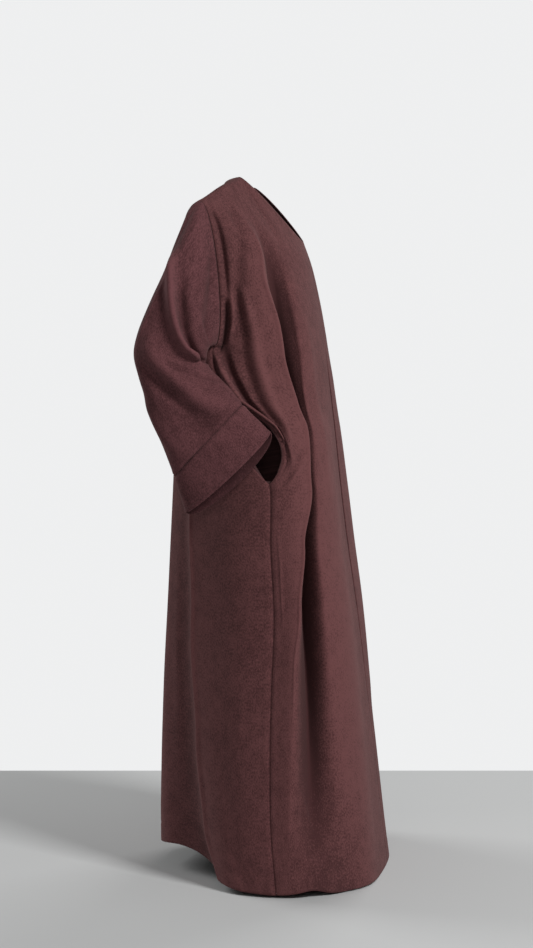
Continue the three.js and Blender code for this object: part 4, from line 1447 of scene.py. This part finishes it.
@dataclass
class StitchRow:
    """A row of lock stitches along a path, made with Geometry Nodes."""

    name: str
    path: np.ndarray
    closed: bool = True
    pitch: float = 3.2
    length: float = 2.3
    radius: float = 0.28
    seed: int = 7

    def _tree(self) -> bpy.types.NodeTree:
        """The node group that sets stitches along a curve, made once."""
        known = bpy.data.node_groups.get("stitch_row")
        if known is not None:
            return known
        tree = bpy.data.node_groups.new("stitch_row", "GeometryNodeTree")
        face = tree.interface
        face.new_socket("Path", in_out="INPUT", socket_type="NodeSocketGeometry")
        for label, default in (("Pitch", 0.0032), ("Length", 0.0023), ("Radius", 0.0003)):
            socket = face.new_socket(label, in_out="INPUT", socket_type="NodeSocketFloat")
            socket.default_value = default
        seed = face.new_socket("Seed", in_out="INPUT", socket_type="NodeSocketInt")
        seed.default_value = 7
        face.new_socket("Thread", in_out="INPUT", socket_type="NodeSocketMaterial")
        face.new_socket("Stitches", in_out="OUTPUT", socket_type="NodeSocketGeometry")
        new, link = tree.nodes.new, tree.links.new
        given = new("NodeGroupInput")
        result = new("NodeGroupOutput")
        resample = new("GeometryNodeResampleCurve")
        resample.mode = "LENGTH"
        link(given.outputs["Path"], resample.inputs["Curve"])
        link(given.outputs["Pitch"], resample.inputs["Length"])
        bead = new("GeometryNodeMeshUVSphere")
        bead.inputs["Segments"].default_value = 6
        bead.inputs["Rings"].default_value = 4
        bead.inputs["Radius"].default_value = 1.0
        size = new("ShaderNodeCombineXYZ")
        half = new("ShaderNodeMath")
        half.operation = "MULTIPLY"
        half.inputs[1].default_value = 0.5
        link(given.outputs["Length"], half.inputs[0])
        link(given.outputs["Radius"], size.inputs["X"])
        link(given.outputs["Radius"], size.inputs["Y"])
        link(half.outputs[0], size.inputs["Z"])
        shape = new("GeometryNodeTransform")
        link(bead.outputs["Mesh"], shape.inputs["Geometry"])
        link(size.outputs["Vector"], shape.inputs["Scale"])
        tangent = new("GeometryNodeInputTangent")
        turn = new("FunctionNodeAlignRotationToVector")
        turn.axis = "Z"
        link(tangent.outputs["Tangent"], turn.inputs["Vector"])
        vary = new("FunctionNodeRandomValue")
        vary.data_type = "FLOAT"
        floats = [s for s in vary.inputs if s.type == "VALUE"]
        floats[0].default_value = 0.88
        floats[1].default_value = 1.1
        link(given.outputs["Seed"], vary.inputs["Seed"])
        place = new("GeometryNodeInstanceOnPoints")
        link(resample.outputs["Curve"], place.inputs["Points"])
        link(shape.outputs["Geometry"], place.inputs["Instance"])
        link(turn.outputs["Rotation"], place.inputs["Rotation"])
        value = next(s for s in vary.outputs if s.type == "VALUE")
        link(value, place.inputs["Scale"])
        realize = new("GeometryNodeRealizeInstances")
        link(place.outputs["Instances"], realize.inputs["Geometry"])
        finish = new("GeometryNodeSetMaterial")
        link(realize.outputs["Geometry"], finish.inputs["Geometry"])
        link(given.outputs["Thread"], finish.inputs["Material"])
        link(finish.outputs["Geometry"], result.inputs["Stitches"])
        return tree

    def build(self) -> bpy.types.Object:
        """Make the stitches as one plain mesh."""
        path = bpy.data.curves.new(f"{self.name}_path", "CURVE")
        path.dimensions = "3D"
        spline = path.splines.new("POLY")
        spline.points.add(len(self.path) - 1)
        flat = np.concatenate([self.path * MM, np.ones((len(self.path), 1))], axis=1)
        spline.points.foreach_set("co", flat.ravel())
        spline.use_cyclic_u = self.closed
        carrier = placed(f"{self.name}_path", path)
        row = carrier.modifiers.new("stitches", "NODES")
        row.node_group = self._tree()
        values = {
            "Pitch": self.pitch * MM,
            "Length": self.length * MM,
            "Radius": self.radius * MM,
            "Seed": self.seed,
            "Thread": THREAD.material(),
        }
        for item in row.node_group.interface.items_tree:
            if item.in_out == "INPUT" and item.name in values:
                row[item.identifier] = values[item.name]
        graph = bpy.context.evaluated_depsgraph_get()
        mesh = bpy.data.meshes.new_from_object(carrier.evaluated_get(graph), depsgraph=graph)
        mesh.name = self.name
        made = placed(self.name, mesh)
        bpy.data.objects.remove(carrier)
        return made


# ---- Studio ----


@dataclass
class Studio:
    """Pale floor that ends at the wall line, soft lights and the camera."""

    floor_z: float = -1.3255
    wall_distance: float = 0.93
    azimuth: float = -80.0
    focal: float = 69.72
    eye: tuple[float, float, float] = (-3.5404, -0.6531, -0.492)
    pitch: float = 1.248
    wall_tone: tuple[float, float, float] = (0.86, 0.865, 0.87)
    glow_tone: tuple[float, float, float] = (1.0, 0.98, 0.97)
    glow: float = 0.12
    floor_tones: tuple[tuple, tuple] = ((0.53, 0.54, 0.54), (0.58, 0.59, 0.59))
    floor_roughness: float = 0.7
    cloud_scale: float = 1.4

    def _away(self) -> Vector:
        """Level direction from the camera to the garment."""
        a = math.radians(self.azimuth)
        return Vector((-math.sin(a), math.cos(a), 0))

    def floor(self) -> bpy.types.Object:
        """Make the floor, which ends in a straight line behind the garment."""
        away = self._away()
        right = Vector((away.y, -away.x, 0))
        centre = Vector((0, 0, self.floor_z))
        corners = [
            centre + away * a + right * b
            for a, b in (
                (-9, -7),
                (-9, 7),
                (self.wall_distance, 7),
                (self.wall_distance, -7),
            )
        ]
        mesh = bpy.data.meshes.new("studio_floor")
        mesh.from_pydata([tuple(c) for c in corners], [], [(0, 1, 2, 3)])
        made = placed("studio_floor", mesh)
        paint = bpy.data.materials.new("floor_paint")
        two_tones(paint, self.cloud_scale, self.floor_tones, self.floor_roughness)
        mesh.materials.append(paint)
        return made

    def light(
        self, name: str, spot: tuple[float, float, float], size: float, power: float
    ) -> bpy.types.Object:
        """Add a soft square light aimed at the garment.

        Args:
            name: The light's name.
            spot: Where it stands, in metres.
            size: Length of its side, in metres.
            power: Its power, in watts.

        Returns:
            The light's object.
        """
        lamp = bpy.data.lights.new(name, "AREA")
        lamp.size = size
        lamp.energy = power
        made = placed(name, lamp)
        made.location = spot
        aim = Vector((0, 0, -0.7)) - Vector(spot)
        made.rotation_euler = aim.to_track_quat("-Z", "Y").to_euler()
        return made

    def camera(self) -> bpy.types.Object:
        """Add the camera at the wearer's right side, nearly level."""
        data = bpy.data.cameras.new("camera")
        data.lens = self.focal
        data.sensor_width = 36
        made = placed("camera", data)
        made.location = self.eye
        fall = math.radians(self.pitch)
        look = self._away() * math.cos(fall) - Vector((0, 0, math.sin(fall)))
        made.rotation_euler = look.to_track_quat("-Z", "Y").to_euler()
        bpy.context.scene.camera = made
        return made

    def walls(self) -> None:
        """Show pale walls all round, and light the room softly from them."""
        world = bpy.data.worlds.new("studio")
        world.use_nodes = True
        tree = world.node_tree
        glow = tree.nodes["Background"]
        glow.inputs["Color"].default_value = (*self.glow_tone, 1)
        glow.inputs["Strength"].default_value = self.glow
        shown = tree.nodes.new("ShaderNodeBackground")
        shown.inputs["Color"].default_value = (*self.wall_tone, 1)
        rays = tree.nodes.new("ShaderNodeLightPath")
        pick = tree.nodes.new("ShaderNodeMixShader")
        tree.links.new(rays.outputs["Is Camera Ray"], pick.inputs["Fac"])
        tree.links.new(glow.outputs["Background"], pick.inputs[1])
        tree.links.new(shown.outputs["Background"], pick.inputs[2])
        tree.links.new(pick.outputs["Shader"], tree.nodes["World Output"].inputs["Surface"])
        bpy.context.scene.world = world

    def build(self) -> None:
        """Make the whole studio."""
        self.floor()
        self.light("key", (-2.2, -2.9, 2.1), 1.0, 152)
        self.light("fill", (-3.8, -0.6, 0.4), 1.6, 10)
        self.light("far_side", (3.0, -1.0, 1.4), 2.0, 45)
        self.light("far_back", (1.4, 3.4, 1.0), 2.0, 70)
        self.walls()
        bpy.context.scene.view_settings.view_transform = "Standard"
        self.camera()


# ---- The garment ----


def settle(piece: bpy.types.Object, node: str | None) -> bpy.types.Object:
    """Set a piece on the garment's body, in place of its solid.

    Args:
        piece: The finished piece.
        node: The solid it stands for, or None where it stands for none.

    Returns:
        The piece.
    """
    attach(piece, "root")
    if node is not None:
        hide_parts(node)
    return piece


@dataclass
class Arm:
    """One sleeve with its cuff and topstitching."""

    side: Side
    folds: tuple[SleeveFold, ...]
    creases: tuple[SleeveFold, ...]
    sleeve_cut: SheetCut = field(default_factory=lambda: SheetCut(0.52, 0.5, 0.16, Hold.DRAPED))
    cuff_cut: SheetCut = field(default_factory=lambda: SheetCut(0.45, 0.08, 0.034, Hold.DRAPED))

    def build(self) -> list[bpy.types.Object]:
        word = self.side.word
        sleeve, _ = Tube(
            f"sleeve_{word}_cloth",
            self.side,
            SLEEVE_RINGS,
            self.folds,
            self.creases,
            self.sleeve_cut,
        ).build()
        band = Cuff(
            f"cuff_{word}_cloth",
            self.side,
            (SLEEVE_RINGS[-1], *CUFF_RINGS),
            (),
            (),
            self.cuff_cut,
            rows=26,
        )
        cuff, grid = band.build()
        stitches = StitchRow(f"cuff_{word}_topstitch", band.stitch_line(grid)).build()
        settle(sleeve, f"sleeve_{word}")
        settle(cuff, f"cuff_{word}")
        settle(stitches, None)
        return [sleeve, cuff, stitches]


@dataclass
class Body:
    """The back, the two fronts and the pocket bags between them."""

    front_cut: SheetCut = field(default_factory=lambda: SheetCut(0.44, 1.38, 0.5))
    back_cut: SheetCut = field(default_factory=lambda: SheetCut(0.92, 1.38, 0.88))
    bag_cut: SheetCut = field(default_factory=lambda: SheetCut(0.3, 0.2, 0.055))

    def build(self) -> list[bpy.types.Object]:
        """Make and settle every panel and pocket bag."""
        back = BackPanel("back_cloth", FOLDS_BACK, CREASES_BACK, self.back_cut, pitch=4.7)
        back_piece, back_grid = back.build()
        settle(back_piece, "back")
        made = [back_piece]
        tables = (
            (Side.RIGHT, FOLDS_FRONT_RIGHT, CREASES_FRONT_RIGHT),
            (Side.LEFT, FOLDS_FRONT_LEFT, CREASES_FRONT_LEFT),
        )
        for side, folds, creases in tables:
            word = side.word
            front = FrontPanel(
                f"front_{word}_cloth", folds, creases, self.front_cut, side=side
            )
            front_piece, front_grid = front.build()
            bag = PocketBag(
                f"pocket_{word}_cloth",
                side,
                front.mouth_edge(front_grid, -1),
                back.mouth_edge(back_grid, 0 if side is Side.RIGHT else -1),
                self.bag_cut,
            ).build()
            settle(front_piece, f"front_{word}")
            settle(bag, f"pocket_{word}")
            made += [front_piece, bag]
        return made


def main() -> None:
    """Build the garment and the studio in order, and report each piece."""
    logging.basicConfig(level=logging.INFO, format="%(name)s: %(message)s")
    made = Body().build()
    made += Arm(Side.RIGHT, FOLDS_SLEEVE_RIGHT, CREASES_SLEEVE_RIGHT).build()
    made += Arm(Side.LEFT, FOLDS_SLEEVE_LEFT, CREASES_SLEEVE_LEFT).build()
    Studio().build()
    for piece in made:
        triangles = sum(len(face.vertices) - 2 for face in piece.data.polygons)
        LOG.info("%s: %d triangles", piece.name, triangles)


if __name__ == "__main__":
    main()
